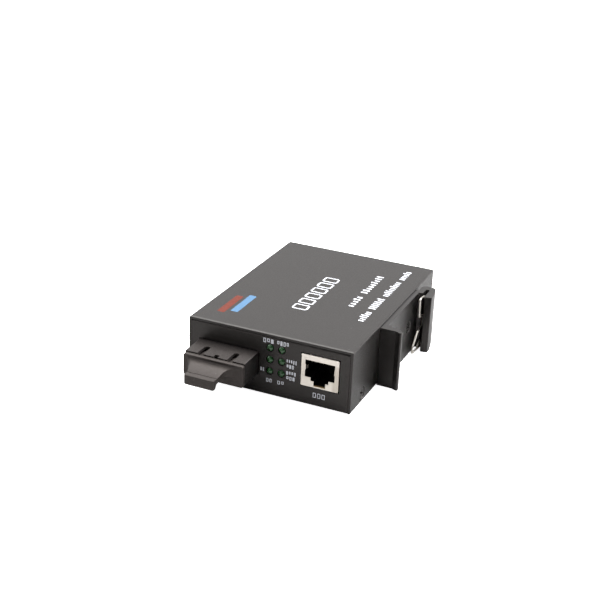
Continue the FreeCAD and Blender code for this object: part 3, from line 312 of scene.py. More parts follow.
def scratch(g, a, b, width):
    """1 on a thin line from a to b, in metres, fading at its ends."""
    sep = g.node("ShaderNodeSeparateXYZ")
    g.wire(g.coord, sep.inputs[0])
    d = [q - p for p, q in zip(a, b)]
    n2 = sum(c * c for c in d)
    terms = [g.math("MULTIPLY", g.math("SUBTRACT", sep.outputs[i], a[i]), d[i] / n2) for i in range(3)]
    t = g.math("ADD", g.math("ADD", terms[0], terms[1]), terms[2])
    t = g.math("MINIMUM", g.math("MAXIMUM", t, 0.0), 1.0)
    sq = None
    for i in range(3):
        e = g.math("SUBTRACT", g.math("SUBTRACT", sep.outputs[i], a[i]), g.math("MULTIPLY", t, d[i]))
        e = g.math("MULTIPLY", e, e)
        sq = e if sq is None else g.math("ADD", sq, e)
    dist = g.math("SQRT", sq)
    return g.remap(dist, 1.0, 0.0, (width * 0.4, width))


def metal(name, base, rough=(0.2, 0.34), streak=(900.0, 900.0, 60.0), depth=0.000004, metallic=1.0, tint=0.08, extra=None):
    """Drawn, rolled or plated metal with a fine directional streak."""
    g = Graph(name)
    g.set(metal=metallic)
    v = g.mapped(scale=streak)
    s = g.noise(1.0, 4.0, 0.6, vector=v)
    cloud = g.noise(140.0, 3.0)
    col = g.ramp(cloud, [(0.3, tuple(c * (1 - tint) for c in base)), (0.7, tuple(min(1, c * (1 + tint)) for c in base))])
    col = g.mix(g.remap(s, 0.0, 0.25, (0.45, 0.8)), col, tuple(c * 0.72 for c in base))
    g.color(extra(g, col) if extra else col)
    g.rough(g.remap(s, rough[0], rough[1], (0.3, 0.7)))
    g.normal(g.bump(s, 0.5, depth))
    return g.mat


def shield_painted_light(g, col):
    """Painted light on the tinned shield: painted shade on its left inner wall, with the middle of the contact leaf
    kept in its own colour; the top and bottom of the front plate painted lighter and a strip on its right painted
    darker, standing in for reflections.
    """
    sep = g.node("ShaderNodeSeparateXYZ")
    g.wire(g.coord, sep.inputs[0])
    x, y, z = sep.outputs[0], sep.outputs[1], sep.outputs[2]
    painted_shade_behind = g.math("MULTIPLY", g.remap(y, 0.0, 1.0, (-0.04834, -0.04828)), g.remap(x, 1.0, 0.0, (0.0174, 0.0176)))
    leaf = g.math("MULTIPLY", g.remap(y, 0.0, 1.0, (-0.04780, -0.04765)), g.remap(y, 1.0, 0.0, (-0.04695, -0.04680)))
    leaf = g.math("MULTIPLY", leaf, g.math("MULTIPLY", g.remap(z, 0.0, 1.0, (0.0145, 0.0148)), g.remap(z, 1.0, 0.0, (0.0169, 0.0171))))
    # painted light: the top of the front plate painted lighter
    col = g.mix(g.remap(z, 0.0, 0.9, (0.0191, 0.0199)), col, (0.80, 0.745, 0.68))
    # painted light: the bottom of the front plate painted lighter
    col = g.mix(g.remap(z, 0.0, 0.9, (0.0130, 0.0085)), col, (0.87, 0.81, 0.73))
    # painted shade: a strip on the right of the front plate painted darker
    painted_shade_strip = g.math("MULTIPLY", g.remap(x, 0.0, 0.9, (0.0270, 0.0281)), g.remap(z, 1.0, 0.0, (0.0172, 0.0196)))
    col = g.mix(painted_shade_strip, col, (0.575, 0.520, 0.450))
    # painted shade on the left inner wall behind the front plate, except the middle of the contact leaf
    return g.mix(g.math("MULTIPLY", painted_shade_behind, g.math("SUBTRACT", 1.0, leaf)), col, (0.020, 0.018, 0.016))


def plug_marks_and_painted_shade(g, col):
    """Lint, one dark scratch by the flange, a nick on the lip; upright faces painted darker as painted shade."""
    col = lint(g, col, 0.16, (0.58, 0.62))
    line = scratch(g, (-0.0294, -0.0625, 0.0137), (-0.0262, -0.0634, 0.0128), 0.00016)
    col = g.mix(g.math("MULTIPLY", line, 0.75), col, (0.006, 0.005, 0.005))
    nick = scratch(g, (-0.0197, -0.0731, 0.0129), (-0.0192, -0.0731, 0.0140), 0.00014)
    col = g.mix(g.math("MULTIPLY", nick, 0.8), col, (0.10, 0.09, 0.085))
    up = g.node("ShaderNodeSeparateXYZ")
    g.wire(g.node("ShaderNodeTexCoord").outputs["Normal"], up.inputs[0])
    # painted shade: the steeper the face, the darker its colour
    painted_shade_upright = g.remap(up.outputs[2], 0.36, 0.0, (0.10, 0.9))
    return g.mix(painted_shade_upright, col, (0.0035, 0.0030, 0.0028))


def port_lint_and_painted_shade(g, col):
    """Lint on top; the housing's right side wall is painted darker, as painted shade."""
    col = lint(g, col)
    sep = g.node("ShaderNodeSeparateXYZ")
    g.wire(g.coord, sep.inputs[0])
    # painted shade: the housing's right side wall painted darker
    wall = g.remap(sep.outputs[0], 0.0, 0.85, (PORT_SIDE_X - 0.00016, PORT_SIDE_X - 0.00008))
    return g.mix(wall, col, (0.0052, 0.0047, 0.0045))


def edge_painted_highlight(g, col):
    """Painted highlight: a lighter colour on a narrow band at the cover's top front edge."""
    sep = g.node("ShaderNodeSeparateXYZ")
    g.wire(g.coord, sep.inputs[0])
    # painted highlight band: just behind the front edge, just under the top
    rim = g.math("MULTIPLY", g.remap(sep.outputs[1], 1.0, 0.0, (COVER_FRONT_Y + 0.0005, COVER_FRONT_Y + 0.0014)),
                 g.remap(sep.outputs[2], 0.0, 1.0, (COVER_TOP_Z - 0.00022, COVER_TOP_Z - 0.00012)))
    return g.mix(g.math("MULTIPLY", rim, 0.85), col, (0.082, 0.080, 0.078))


PORT_SIDE_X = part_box("transceiver_housing")[1][0]
COVER_FRONT_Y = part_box("top_cover")[0][1]
COVER_TOP_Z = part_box("top_cover")[1][2]
M = {}
# the case paint carries the painted highlight on the cover's top front edge
M["case"] = coat_black("case_paint", extra=edge_painted_highlight)
M["screw"] = metal("black_screw", (0.035, 0.033, 0.031), (0.22, 0.32), (2000, 2000, 2000), 0.000004, 0.6)
# the port plastic carries painted shade on its right side wall
M["port"] = moulded("port_plastic", (0.0215, 0.0187, 0.0176), speck=0.5, grain=5200.0, depth=0.000022, coarse=0.5, spec=0.44, extra=port_lint_and_painted_shade)
M["insert"] = moulded("insert_plastic", (0.006, 0.006, 0.006), (0.5, 0.65), 5000.0, 0.00001, spec=0.2)
M["plug"] = moulded("plug_rubber", (0.0272, 0.0232, 0.0214), (0.45, 0.55), 3500.0, 0.000008, spec=0.52, scale_noise=180.0,
                    # the plug colour includes painted shade on its upright faces
                    tint=(1.0, 0.89, 0.84), extra=plug_marks_and_painted_shade)
M["tin"] = metal("tinned_steel", (0.715, 0.66, 0.585), (0.34, 0.46), (300.0, 300.0, 1500.0), 0.000003)
# the shield material carries painted light and painted shade
M["shield"] = metal("tinned_shield", (0.72, 0.665, 0.59), (0.34, 0.46), (300.0, 300.0, 1500.0), 0.000003, extra=shield_painted_light)
M["brass"] = metal("slot_foot_metal", (0.50, 0.36, 0.20), (0.35, 0.48), (300.0, 900.0, 900.0), 0.000003)
M["clip"] = coat_black("clip_anodised", (0.0105, 0.0100, 0.0098), (0.30, 0.38), 9000.0, 0.000004, specks=False, mottle=0.05, spec=0.49)
M["wire"] = metal("spring_steel", (0.60, 0.57, 0.52), (0.34, 0.46), (200.0, 200.0, 200.0), 0.000003)
M["steel"] = metal("plated_steel", (0.66, 0.65, 0.62), (0.25, 0.4), (700.0, 700.0, 700.0), 0.000004)
M["gold"] = metal("gold_contact", (0.83, 0.62, 0.28), (0.15, 0.26), (700.0, 90.0, 700.0), 0.000002)
M["black_part"] = moulded("component_black", (0.012, 0.012, 0.012), (0.45, 0.6), 3000.0, 0.00001)
M["latch"] = moulded("latch_plastic", (0.55, 0.53, 0.48), (0.4, 0.5), 2500.0, 0.000006)
M["can"] = metal("can_aluminium", (0.72, 0.72, 0.73), (0.2, 0.3), (500.0, 500.0, 500.0), 0.000002)


def board_material():
    g = Graph("board_green")
    g.set(spec=0.5)
    v = g.mapped(scale=(420.0, 420.0, 420.0))
    br = g.node("ShaderNodeTexBrick")
    br.inputs["Scale"].default_value = 1.0
    br.inputs["Mortar Size"].default_value = 0.06
    br.inputs["Color1"].default_value = (0.008, 0.075, 0.03, 1)
    br.inputs["Color2"].default_value = (0.01, 0.09, 0.036, 1)
    br.inputs["Mortar"].default_value = (0.02, 0.15, 0.06, 1)
    g.wire(v, br.inputs["Vector"])
    cloud = g.noise(60.0, 3.0)
    g.color(g.mix(g.remap(cloud, 0.0, 0.6, (0.4, 0.7)), br.outputs["Color"], (0.006, 0.06, 0.026)))
    g.rough(g.remap(g.noise(300.0), 0.22, 0.34, (0.3, 0.7)))
    g.normal(g.bump(br.outputs["Fac"], 0.3, 0.00002))
    return g.mat


M["board"] = board_material()


def lamp_material():
    """Green-tinted epoxy: slightly cloudy, smooth outside."""
    g = Graph("lamp_green")
    g.set(spec=0.5, ior=1.5, coat=1.0, coat_rough=0.12, tint=(0.5, 1.0, 0.55))
    cloud = g.noise(320.0, 2.0)
    g.color(g.ramp(cloud, [(0.3, (0.0090, 0.046, 0.0112)), (0.7, (0.0112, 0.056, 0.0135))]))
    g.rough(g.remap(g.noise(500.0), 0.27, 0.32, (0.3, 0.7)))
    g.normal(g.bump(g.noise(700.0), 0.1, 0.000002))
    return g.mat


M["lamp"] = lamp_material()


def ink(name, base):
    """Screen-printed ink: slightly uneven, with a fine grain."""
    g = Graph(name)
    g.set(spec=0.22)
    fine = g.noise(2600.0, 3.0)
    g.color(g.mix(g.remap(fine, 0.0, 0.5, (0.55, 0.8)), base, tuple(c * 0.72 for c in base)))
    g.rough(g.remap(g.noise(800.0), 0.42, 0.56, (0.3, 0.7)))
    g.normal(g.bump(fine, 0.35, 0.000008))
    return g.mat


M["ink_white"] = ink("ink_white", (0.70, 0.71, 0.76))
M["ink_red"] = ink("ink_red", (0.143, 0.025, 0.013))
M["ink_blue"] = ink("ink_blue", (0.090, 0.190, 0.325))


# ------------------------------------------------------ finish on CAD nodes
def dress(name, mat, bevel=0.00012, segs=2, angle=32.0):
    """Material for a CAD node, with its sharp edges broken by a small bevel."""
    o = nodes[name]
    o.data.materials.clear()
    o.data.materials.append(M[mat])
    for p in o.data.polygons:
        p.material_index = 0
    if bevel:
        w = o.modifiers.new("weld", "WELD")
        w.merge_threshold = 2e-6
        d = o.modifiers.new("planar", "DECIMATE")
        d.decimate_type = "DISSOLVE"
        d.angle_limit = math.radians(0.4)
        b = o.modifiers.new("edges", "BEVEL")
        b.width = bevel
        b.segments = segs
        b.limit_method = "ANGLE"
        b.angle_limit = math.radians(angle)
        b.use_clamp_overlap = True
        b.harden_normals = True
        t = o.modifiers.new("faces", "TRIANGULATE")
        t.keep_custom_normals = True
    return o


FINISH = {
    "top_cover": ("case", 0.00010), "base_tray": ("case", 0.00008), "cover_screws": ("screw", 0.00005),
    "circuit_board": ("board", 0), "board_standoffs": ("steel", 0), "board_screws": ("steel", 0),
    "rj45_shield": ("shield", 0.00007), "rj45_insert": ("insert", 0), "rj45_contacts": ("gold", 0),
    "network_transformer": ("black_part", 0), "transformer_leads": ("tin", 0), "led_holder": ("black_part", 0),
    "leds": ("lamp", 0), "led_leads": ("tin", 0), "transceiver_housing": ("port", 0.00014),
    "transmit_optics": ("steel", 0), "receive_optics": ("steel", 0), "connector_latches": ("latch", 0),
    "transceiver_circuit": ("board", 0), "transceiver_pins": ("tin", 0), "dust_plug": ("plug", 0.00015),
    "power_jack": ("black_part", 0.0001), "power_jack_pin": ("steel", 0), "controller_chip": ("black_part", 0),
    "crystal": ("steel", 0), "electrolytic_capacitors": ("can", 0), "voltage_regulator": ("black_part", 0),
    "power_inductor": ("black_part", 0), "rail_clip": ("clip", 0.00010), "rail_clip_screws": ("screw", 0.00005),
    "clip_nuts": ("steel", 0), "spring_wire": ("wire", 0),
}
for name, (mat, bevel) in FINISH.items():
    dress(name, mat, bevel)


# ------------------------------------------------------------ new meshes
def piece(name, bm, mat, body, sharp=38.0):
    """Finish a bmesh given in millimetres as one object that rides on a body."""
    bmesh.ops.remove_doubles(bm, verts=bm.verts, dist=1e-4)
    bmesh.ops.recalc_face_normals(bm, faces=bm.faces)
    for v in bm.verts:
        v.co *= MM
    me = bpy.data.meshes.new(name)
    bm.to_mesh(me)
    bm.free()
    for p in me.polygons:
        p.use_smooth = True
    me.set_sharp_from_angle(angle=math.radians(sharp))
    me.materials.append(M[mat])
    o = link(bpy.data.objects.new(name, me))
    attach(o, body)
    return o


def bridge(bm, rings, cap_start=True, cap_end=True, inset=0.12):
    """Quads between rings of equal count, with each end closed over a narrow flat border."""
    rows = [[bm.verts.new(p) for p in r] for r in rings]
    n = len(rows[0])
    for a, b in zip(rows, rows[1:]):
        for i in range(n):
            j = (i + 1) % n
            bm.faces.new((a[i], a[j], b[j], b[i]))
    for row, wanted in ((rows[0], cap_start), (rows[-1], cap_end)):
        if wanted:
            mid = sum((v.co for v in row), Vector()) / n
            inner = [bm.verts.new(v.co + (mid - v.co).normalized() * min(inset, (mid - v.co).length * 0.5)) for v in row]
            for i in range(n):
                j = (i + 1) % n
                bm.faces.new((row[i], row[j], inner[j], inner[i]))
            bm.faces.new(inner)
    return rows


def round_rect(x0, x1, z0, z1, r, n=6, flat=6):
    """Points round a rectangle with rounded corners; r is one radius or one per corner (x1z1, x0z1, x0z0, x1z0)."""
    rs = r if isinstance(r, (tuple, list)) else (r,) * 4
    lim = min(x1 - x0, z1 - z0) / 2 * 0.98
    rs = [min(v, lim) for v in rs]
    corners = ((x1 - rs[0], z1 - rs[0], 0.0, rs[0]), (x0 + rs[1], z1 - rs[1], 90.0, rs[1]),
               (x0 + rs[2], z0 + rs[2], 180.0, rs[2]), (x1 - rs[3], z0 + rs[3], 270.0, rs[3]))
    pts = []
    for cx, cz, a0, q in corners:
        for i in range(n + 1):
            a = math.radians(a0 + 90.0 * i / n)
            pts.append((cx + q * math.cos(a), cz + q * math.sin(a)))
    out = []
    for i, p in enumerate(pts):
        out.append(p)
        if i % (n + 1) == n:
            q = pts[(i + 1) % len(pts)]
            for k in range(1, flat):
                t = k / flat
                out.append((p[0] + (q[0] - p[0]) * t, p[1] + (q[1] - p[1]) * t))
    return out


def sweep(bm, path, radius, sides=18, ends=True):
    """A round wire along a dense path, its cut ends closed flat."""
    pts = [Vector(p) for p in path]
    tangents = [(pts[min(i + 1, len(pts) - 1)] - pts[max(i - 1, 0)]).normalized() for i in range(len(pts))]
    side = Vector((1.0, 0.0, 0.0))
    rings = []
    for p, t in zip(pts, tangents):
        u = (side - t * side.dot(t)).normalized()
        w = t.cross(u)
        rings.append((p, t, u, w))
    rows = []
    if ends:
        p, t, u, w = rings[0]
        for k in (0.12, 0.04):
            rows.append([p - t * (0.0) + t * (k if False else 0.0) + (u * math.cos(a) + w * math.sin(a)) * (radius - k)
                         for a in [2 * math.pi * i / sides for i in range(sides)]])
            p = p
    for p, t, u, w in rings:
        rows.append([p + (u * math.cos(a) + w * math.sin(a)) * radius for a in [2 * math.pi * i / sides for i in range(sides)]])
    return bridge(bm, rows, True, True, 0.08)


def softened(node_name, new_name, mat, picks, min_angle=25.0):
    """The folded sheet again, with its outer cut edges rounded: picks gives (test on the edge's ends, radius in mm)."""
    bm = bmesh.new()
    bm.from_mesh(nodes[node_name].data)
    for v in bm.verts:
        v.co /= MM
    bmesh.ops.remove_doubles(bm, verts=bm.verts, dist=0.002)
    bmesh.ops.dissolve_limit(bm, angle_limit=math.radians(0.4), verts=bm.verts, edges=bm.edges)
    for test, radius, segs in picks:
        edges = [e for e in bm.edges if len(e.link_faces) == 2 and e.calc_face_angle(0.0) > math.radians(min_angle)
                 and test(e.verts[0].co) and test(e.verts[1].co)]
        if edges:
            bmesh.ops.bevel(bm, geom=edges, offset=radius, offset_type="OFFSET", segments=segs, profile=0.5,
                            affect="EDGES", clamp_overlap=True)
    o = piece(new_name, bm, mat, "root", 24.0)
    w = o.modifiers.new("weighted", "WEIGHTED_NORMAL")
    w.mode = "FACE_AREA"
    w.weight = 90
    w.keep_sharp = True
    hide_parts(node_name)
    return o


COV_LO, COV_HI = [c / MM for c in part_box("top_cover")[0]], [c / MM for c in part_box("top_cover")[1]]


def outer_face(co):
    """On the cover's outside surface, at its front or rear cut edge."""
    edge = abs(co.y - COV_LO[1]) < 0.01 or abs(co.y - COV_HI[1]) < 0.01
    r = 0.9
    dx, dz = abs(co.x) - (COV_HI[0] - r), co.z - (COV_HI[2] - r)
    on = abs(co.z - COV_HI[2]) < 0.01 or abs(abs(co.x) - COV_HI[0]) < 0.01 or (dx > 0 and dz > 0 and math.hypot(dx, dz) > 0.6)
    return edge and on


def low_edge(co):
    """On the cover's lower outside edge."""
    return abs(co.z - COV_LO[2]) < 0.01 and abs(abs(co.x) - COV_HI[0]) < 0.01


softened("top_cover", "case_cover", "case", [(outer_face, 0.45, 5), (low_edge, 0.18, 3)])


def screw_edges(face_x, centres, reach):
    """Tests for a countersunk head's rim and for the mouth of its cross recess."""
    def near_face(co):
        return abs(abs(co.x) - face_x) < 0.02

    def far(co):
        return min(math.hypot(co.y - y, co.z - z) for y, z in centres)
    return (lambda co: near_face(co) and far(co) > reach), (lambda co: near_face(co) and far(co) < reach - 0.3)


box = [[c / MM for c in p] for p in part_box("cover_screws")]
mid_z, end_y = (box[0][2] + box[1][2]) / 2, box[1][1] - 2.75
rim, mouth = screw_edges(box[1][0], [(end_y, mid_z), (-end_y, mid_z)], 2.4)
softened("cover_screws", "cover_screw_heads", "case", [(rim, 0.52, 5), (mouth, 0.15, 2)])
box = [[c / MM for c in p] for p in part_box("rail_clip_screws")]
mid_z = (box[0][2] + box[1][2]) / 2
rim, mouth = screw_edges(box[1][0], [(box[1][1] - 2.75, mid_z), (box[0][1] + 2.75, mid_z)], 2.4)
softened("rail_clip_screws", "clip_screw_heads", "screw", [(rim, 0.52, 5), (mouth, 0.15, 2)])


# ---- dust plug: flange, scooped pull tab with a hanging lip, keys and legs
PLUG_LO, PLUG_HI = [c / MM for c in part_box("dust_plug")[0]], [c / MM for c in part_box("dust_plug")[1]]
TAB_Y = PLUG_LO[1]
FL_X0, FL_X1, FL_Z0, FL_Z1 = PLUG_LO[0] - 0.14, PLUG_HI[0], PLUG_LO[2], PLUG_HI[2]
FL_Y0, FL_Y1 = TAB_Y + 10.64, TAB_Y + 12.42
TAB_X = (PLUG_LO[0] + PLUG_HI[0]) / 2 - 0.53
TAB_HALF, ROOT_HALF = 6.475, 12.6
TOP_Z, LIP_Z, UNDER_Z = 14.35, 10.15, 12.0


def scoop_rows(run, height):
    """Rise of the scoop behind the lip: a slow curve, a 3.4 mm fillet, then a steep wall up to the ridge."""
    steep, slow = math.radians(66.0), math.radians(14.0)
    wall = 0.5 / math.tan(steep)
    bend = 3.4 * (math.sin(steep) - math.sin(slow))
    rows, z, n = [0.0], 0.0, 400
    for i in range(n):
        y = run * (i + 0.5) / n
        if y > run - wall:
            tilt = steep
        elif y > run - wall - bend:
            tilt = math.asin(min(1.0, math.sin(slow) + (y - (run - wall - bend)) / 3.4))
        else:
            tilt = slow * y / (run - wall - bend)
        z += math.tan(tilt) * run / n
        rows.append(z)
    return [v * height / rows[-1] for v in rows]


SCOOP = []


def tab_top(y):
    """Height of the tab's upper face: flat lip, a shallow groove, then a concave rise to the flange's top edge."""
    y_rise = TAB_Y + 3.5
    y_end, z_end = FL_Y0 + 0.3, FL_Z1 - 0.42
    if y <= TAB_Y + 2.35:
        return TOP_Z
    if y <= TAB_Y + 3.2:
        k = (y - TAB_Y - 2.35) / 0.85
        return TOP_Z - 0.20 * math.sin(math.pi * min(1.0, k * 1.5)) + 0.14 * k * k * (3 - 2 * k)
    if y <= y_rise:
        return TOP_Z + 0.14
    if not SCOOP:
        SCOOP.extend(scoop_rows(y_end - y_rise, z_end - TOP_Z - 0.14))
    k = min(1.0, (y - y_rise) / (y_end - y_rise)) * (len(SCOOP) - 1)
    i = min(int(k), len(SCOOP) - 2)
    return TOP_Z + 0.14 + SCOOP[i] + (SCOOP[i + 1] - SCOOP[i]) * (k - i)


def tab_half(y):
    """Half width on the right: straight, flaring over the last 4.2 mm."""
    start = FL_Y0 - 4.2
    if y <= start:
        return TAB_HALF
    k = min(1.0, (y - start) / 4.2)
    return TAB_HALF + (ROOT_HALF - TAB_HALF) * (1.0 - math.sqrt(max(0.0, 1.0 - k ** 2.9)))


def tab_half_left(y):
    """Half width on the left: a long taper from the lip, with a small fillet at the flange."""
    t = y - TAB_Y - 2.7
    if t <= 0:
        return TAB_HALF + 0.1
    k = min(1.0, max(0.0, (y - FL_Y0 + 2.0) / 2.0))
    ease = min(1.0, t / 1.2)
    return TAB_HALF + 0.1 + 0.47 * (t - 0.6 * ease * (2 - ease)) * 1.0 + 1.0 * (1.0 - math.sqrt(max(0.0, 1.0 - k ** 3)))


def tab_under(y):
    """Underside: lip, a curved wall behind it, a flat and a small fillet down to the flange."""
    b = TAB_Y + 1.9
    if y <= b - 0.3:
        return LIP_Z
    if y <= b + 0.75:
        k = (y - b + 0.3) / 1.05
        return LIP_Z + (UNDER_Z - 0.1 - LIP_Z) * (k * k * (3 - 2 * k)) ** 0.8
    if y <= b + 1.8:
        return UNDER_Z - 0.1 + 0.1 * (y - b - 0.75) / 1.05
    if y <= FL_Y0 - 0.6:
        return UNDER_Z
    k = min(1.0, (y - FL_Y0 + 0.6) / 0.6)
    return UNDER_Z - 0.6 * (1.0 - math.sqrt(max(0.0, 1.0 - k * k)))


bm = bmesh.new()
# flange
rings = []
for y, inset in ((FL_Y0, 0.42), (FL_Y0 + 0.03, 0.27), (FL_Y0 + 0.11, 0.13), (FL_Y0 + 0.24, 0.04), (FL_Y0 + 0.42, 0.0),
                 (FL_Y0 + 1.0, 0.0), (FL_Y1 - 0.12, 0.0), (FL_Y1 - 0.03, 0.04), (FL_Y1, 0.12)):
    rings.append([Vector((x, y, z)) for x, z in
                  round_rect(FL_X0 + inset, FL_X1 - inset, FL_Z0 + inset, FL_Z1 - inset, max(0.25, 0.95 - inset), 7, 10)])
bridge(bm, rings, True, True, 0.2)
# tab
ys = []
y = TAB_Y + 0.55
while y < FL_Y0 + 0.3:
    ys.append(y)
    near = min(abs(y - TAB_Y - 2.8), abs(y - TAB_Y - 2.3), max(0.0, FL_Y0 - 1.2 - y) * 0.5)
    y += 0.05 if near < 0.35 else (0.1 if near < 1.2 else 0.22)
ys += [FL_Y0 + 0.3, FL_Y0 + 0.6]
rings = []
for k in range(10):
    a = math.pi / 2 * k / 9
    yy = TAB_Y + 0.8 * (1.0 - math.sin(a))
    side = 0.8 * (1.0 - math.cos(a))
    up = 0.3 * (1.0 - math.sqrt(max(0.0, 1.0 - max(0.0, 1.0 - (yy - TAB_Y) / 0.3) ** 2)))
    down = 0.55 * (1.0 - math.sqrt(max(0.0, 1.0 - max(0.0, 1.0 - (yy - TAB_Y) / 0.55) ** 2)))
    rings.append((yy, [Vector((x, yy, z)) for x, z in
                       round_rect(TAB_X - TAB_HALF - 0.1 + side, TAB_X + TAB_HALF - side, LIP_Z + down, TOP_Z - up,
                                  (0.25, 0.25, 0.6, 0.6), 5, 14)]))
rings = [r for yy, r in sorted(rings, key=lambda q: q[0])]
for yy in [v for v in ys if v > TAB_Y + 0.81]:
    h, h_left = tab_half(yy), tab_half_left(yy)
    top = min(tab_top(yy), FL_Z1 - 0.42)
    low = 0.6 if yy < TAB_Y + 2.0 else 0.38
    k = min(1.0, max(0.0, (yy - TAB_Y - 2.9) / 2.0))
    soft = 0.22 + 0.75 * k * k * (3 - 2 * k)
    rings.append([Vector((x, yy, z)) for x, z in
                  round_rect(TAB_X - h_left, TAB_X + h, tab_under(yy), top, (0.22, soft, low, low), 5, 14)])
bridge(bm, rings, True, True, 0.2)
# legs and keys behind the flange
centres = [TAB_X + 0.23 - 6.45, TAB_X + 0.23 + 6.45]
AXIS_Z = 12.85
KEY_Z = 16.1
for cx in centres:
    rings = []
    for yy, ins in ((FL_Y1 - 0.1, 0.0), (FL_Y1 + 12.1, 0.0), (FL_Y1 + 12.35, 0.08), (FL_Y1 + 12.5, 0.3)):
        rings.append([Vector((x, yy, z)) for x, z in
                      round_rect(cx - 3.0 + ins, cx + 3.0 - ins, AXIS_Z - 2.75 + ins, AXIS_Z + 2.75 - ins, 0.35, 4, 3)])
    outer = bridge(bm, rings, True, False)
    bore = []
    for yy, r in ((FL_Y1 + 12.5, 2.4), (FL_Y1 + 12.4, 2.25), (FL_Y1 + 0.05, 2.25)):
        bore.append([Vector((cx + r * math.cos(a), yy, AXIS_Z + r * math.sin(a)))
                     for a in [2 * math.pi * (i + 0.5) / len(outer[-1]) for i in range(len(outer[-1]))]])
    rows = [[bm.verts.new(p) for p in r] for r in bore]
    n = len(rows[0])
    ring = outer[-1]
    best = min(range(n), key=lambda s: (ring[s].co - rows[0][0].co).length)
    ring = [ring[(best + i) % n] for i in range(n)]
    for a, b in [(ring, rows[0])] + list(zip(rows, rows[1:])):
        for i in range(n):
            j = (i + 1) % n
            bm.faces.new((a[i], a[j], b[j], b[i]))
    bm.faces.new(rows[-1])
    # key
    key_y1 = FL_Y1 + 6.91
    pts = []
    for i in range(13):
        a = math.pi * i / 12
        pts.append((cx + 1.1 * math.cos(a), key_y1 - 1.2 + 1.1 * math.sin(a)))
    pts = [(cx + 1.1, FL_Y1 - 0.1)] + pts + [(cx - 1.1, FL_Y1 - 0.1)]
    mid = Vector((cx, (FL_Y1 + key_y1) / 2, 0))
    rings = []
    for z, ins in ((AXIS_Z + 2.6, 0.0), (KEY_Z - 0.15, 0.0), (KEY_Z - 0.05, 0.04), (KEY_Z, 0.14)):
        rings.append([Vector((x + (mid.x - x) * ins / 1.6, yy + (mid.y - yy) * ins / 4.5 * (0 if yy < FL_Y1 else 1), z)) for x, yy in pts])
    bridge(bm, rings, True, True, 0.1)
plug = piece("dust_plug_skin", bm, "plug", "dust_plug", 50.0)
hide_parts("dust_plug")


# ---- lamps: a domed lens with a step behind it, seen through the panel holes
LED_LO, LED_HI = [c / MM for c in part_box("leds")[0]], [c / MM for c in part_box("leds")[1]]
LED_XS = (LED_LO[0] + 1.5, LED_HI[0] - 1.5)
LED_ZS = [LED_LO[2] + 1.5 + 5.08 * i for i in range(3)]
bm = bmesh.new()
LENS = [(1.5 * math.sin(math.radians(t)), 1.38 * (1.0 - math.cos(math.radians(t)))) for t in range(0, 91, 6)]
LENS += [(1.5, 1.9), (1.5, 3.2), (1.5, 5.6), (1.42, 5.72), (0.6, 5.75)]
for cx in LED_XS:
    for cz in LED_ZS:
        rows = []
        for r, d in LENS[1:]:
            rows.append([bm.verts.new((cx + r * math.cos(a), LED_LO[1] + 0.02 + d, cz + r * math.sin(a)))
                         for a in [2 * math.pi * i / 36 for i in range(36)]])
        tip = bm.verts.new((cx, LED_LO[1] + 0.02, cz))
        for i in range(36):
            bm.faces.new((tip, rows[0][i], rows[0][(i + 1) % 36]))
        for a, b in zip(rows, rows[1:]):
            for i in range(36):
                j = (i + 1) % 36
                bm.faces.new((a[i], a[j], b[j], b[i]))
        bm.faces.new(rows[-1])
lamps = piece("lamp_lenses", bm, "lamp", "root", 50.0)
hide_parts("leds")


# ---- spring wire: one drawn wire with smooth bends
WIRE_LO, WIRE_HI = [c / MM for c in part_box("spring_wire")[0]], [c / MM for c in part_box("spring_wire")[1]]
WIRE_X = (WIRE_LO[0] + WIRE_HI[0]) / 2
WIRE = [(22.3, 24.3, 0), (16.85, 24.9, 1.0), (17.6, 16.4, 0.9), (22.9, 15.5, 0.9), (23.0, 10.6, 0.9), (16.6, 9.75, 0.95),
        (11.2, 4.6, 1.5), (11.2, 1.95, 1.0), (22.9, 0.95, 0.9), (22.9, 4.2, 0.8), (17.6, 2.35, 0)]


def bent(route, step=0.22):
    pts = [Vector((WIRE_X, y, z)) for y, z, r in route]
    out = [pts[0]]
    for i in range(1, len(pts) - 1):
        p, r = pts[i], route[i][2]
        a, c = (pts[i - 1] - p).normalized(), (pts[i + 1] - p).normalized()
        half = a.angle(c) / 2
        back = r / math.tan(half)
        t1, t2 = p + a * back, p + c * back
        centre = p + (a + c).normalized() * (r / math.sin(half))
        run = (t1 - out[-1]).length
        n = max(1, int(run / 0.6))
        start = out[-1].copy()
        out += [start.lerp(t1, k / n) for k in range(1, n + 1)]
        m = 8
        u, w = t1 - centre, t2 - centre
        for k in range(1, m + 1):
            t = k / m
            ang = u.angle(w)
            out.append(centre + (u * math.sin((1 - t) * ang) + w * math.sin(t * ang)) / math.sin(ang))
    start = out[-1].copy()
    n = max(1, int((pts[-1] - start).length / 0.6))
    out += [start.lerp(pts[-1], k / n) for k in range(1, n + 1)]
    return out


bm = bmesh.new()
sweep(bm, bent(WIRE), 0.468)
wire = piece("spring_wire_drawn", bm, "wire", "spring_wire", 40.0)
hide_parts("spring_wire")


# ---- copper port: the strip at the foot of the latch slot
SH_LO, SH_HI = [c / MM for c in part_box("rj45_shield")[0]], [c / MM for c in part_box("rj45_shield")[1]]
PORT_X = (SH_LO[0] + SH_HI[0]) / 2
bm = bmesh.new()
rings = []
for k in range(9):
    t = k / 8
    x = PORT_X - 2.42 + 4.84 * t
    rings.append([Vector((x, SH_LO[1] + 0.12, 8.76)), Vector((x, SH_LO[1] + 0.12, 8.84)), Vector((x, SH_LO[1] + 0.2, 8.95)),
                  Vector((x, SH_LO[1] + 1.2, 9.02)), Vector((x, SH_LO[1] + 1.2, 8.76))])
bridge(bm, rings, True, True, 0.03)
piece("latch_slot_foot", bm, "brass", "root", 30.0)


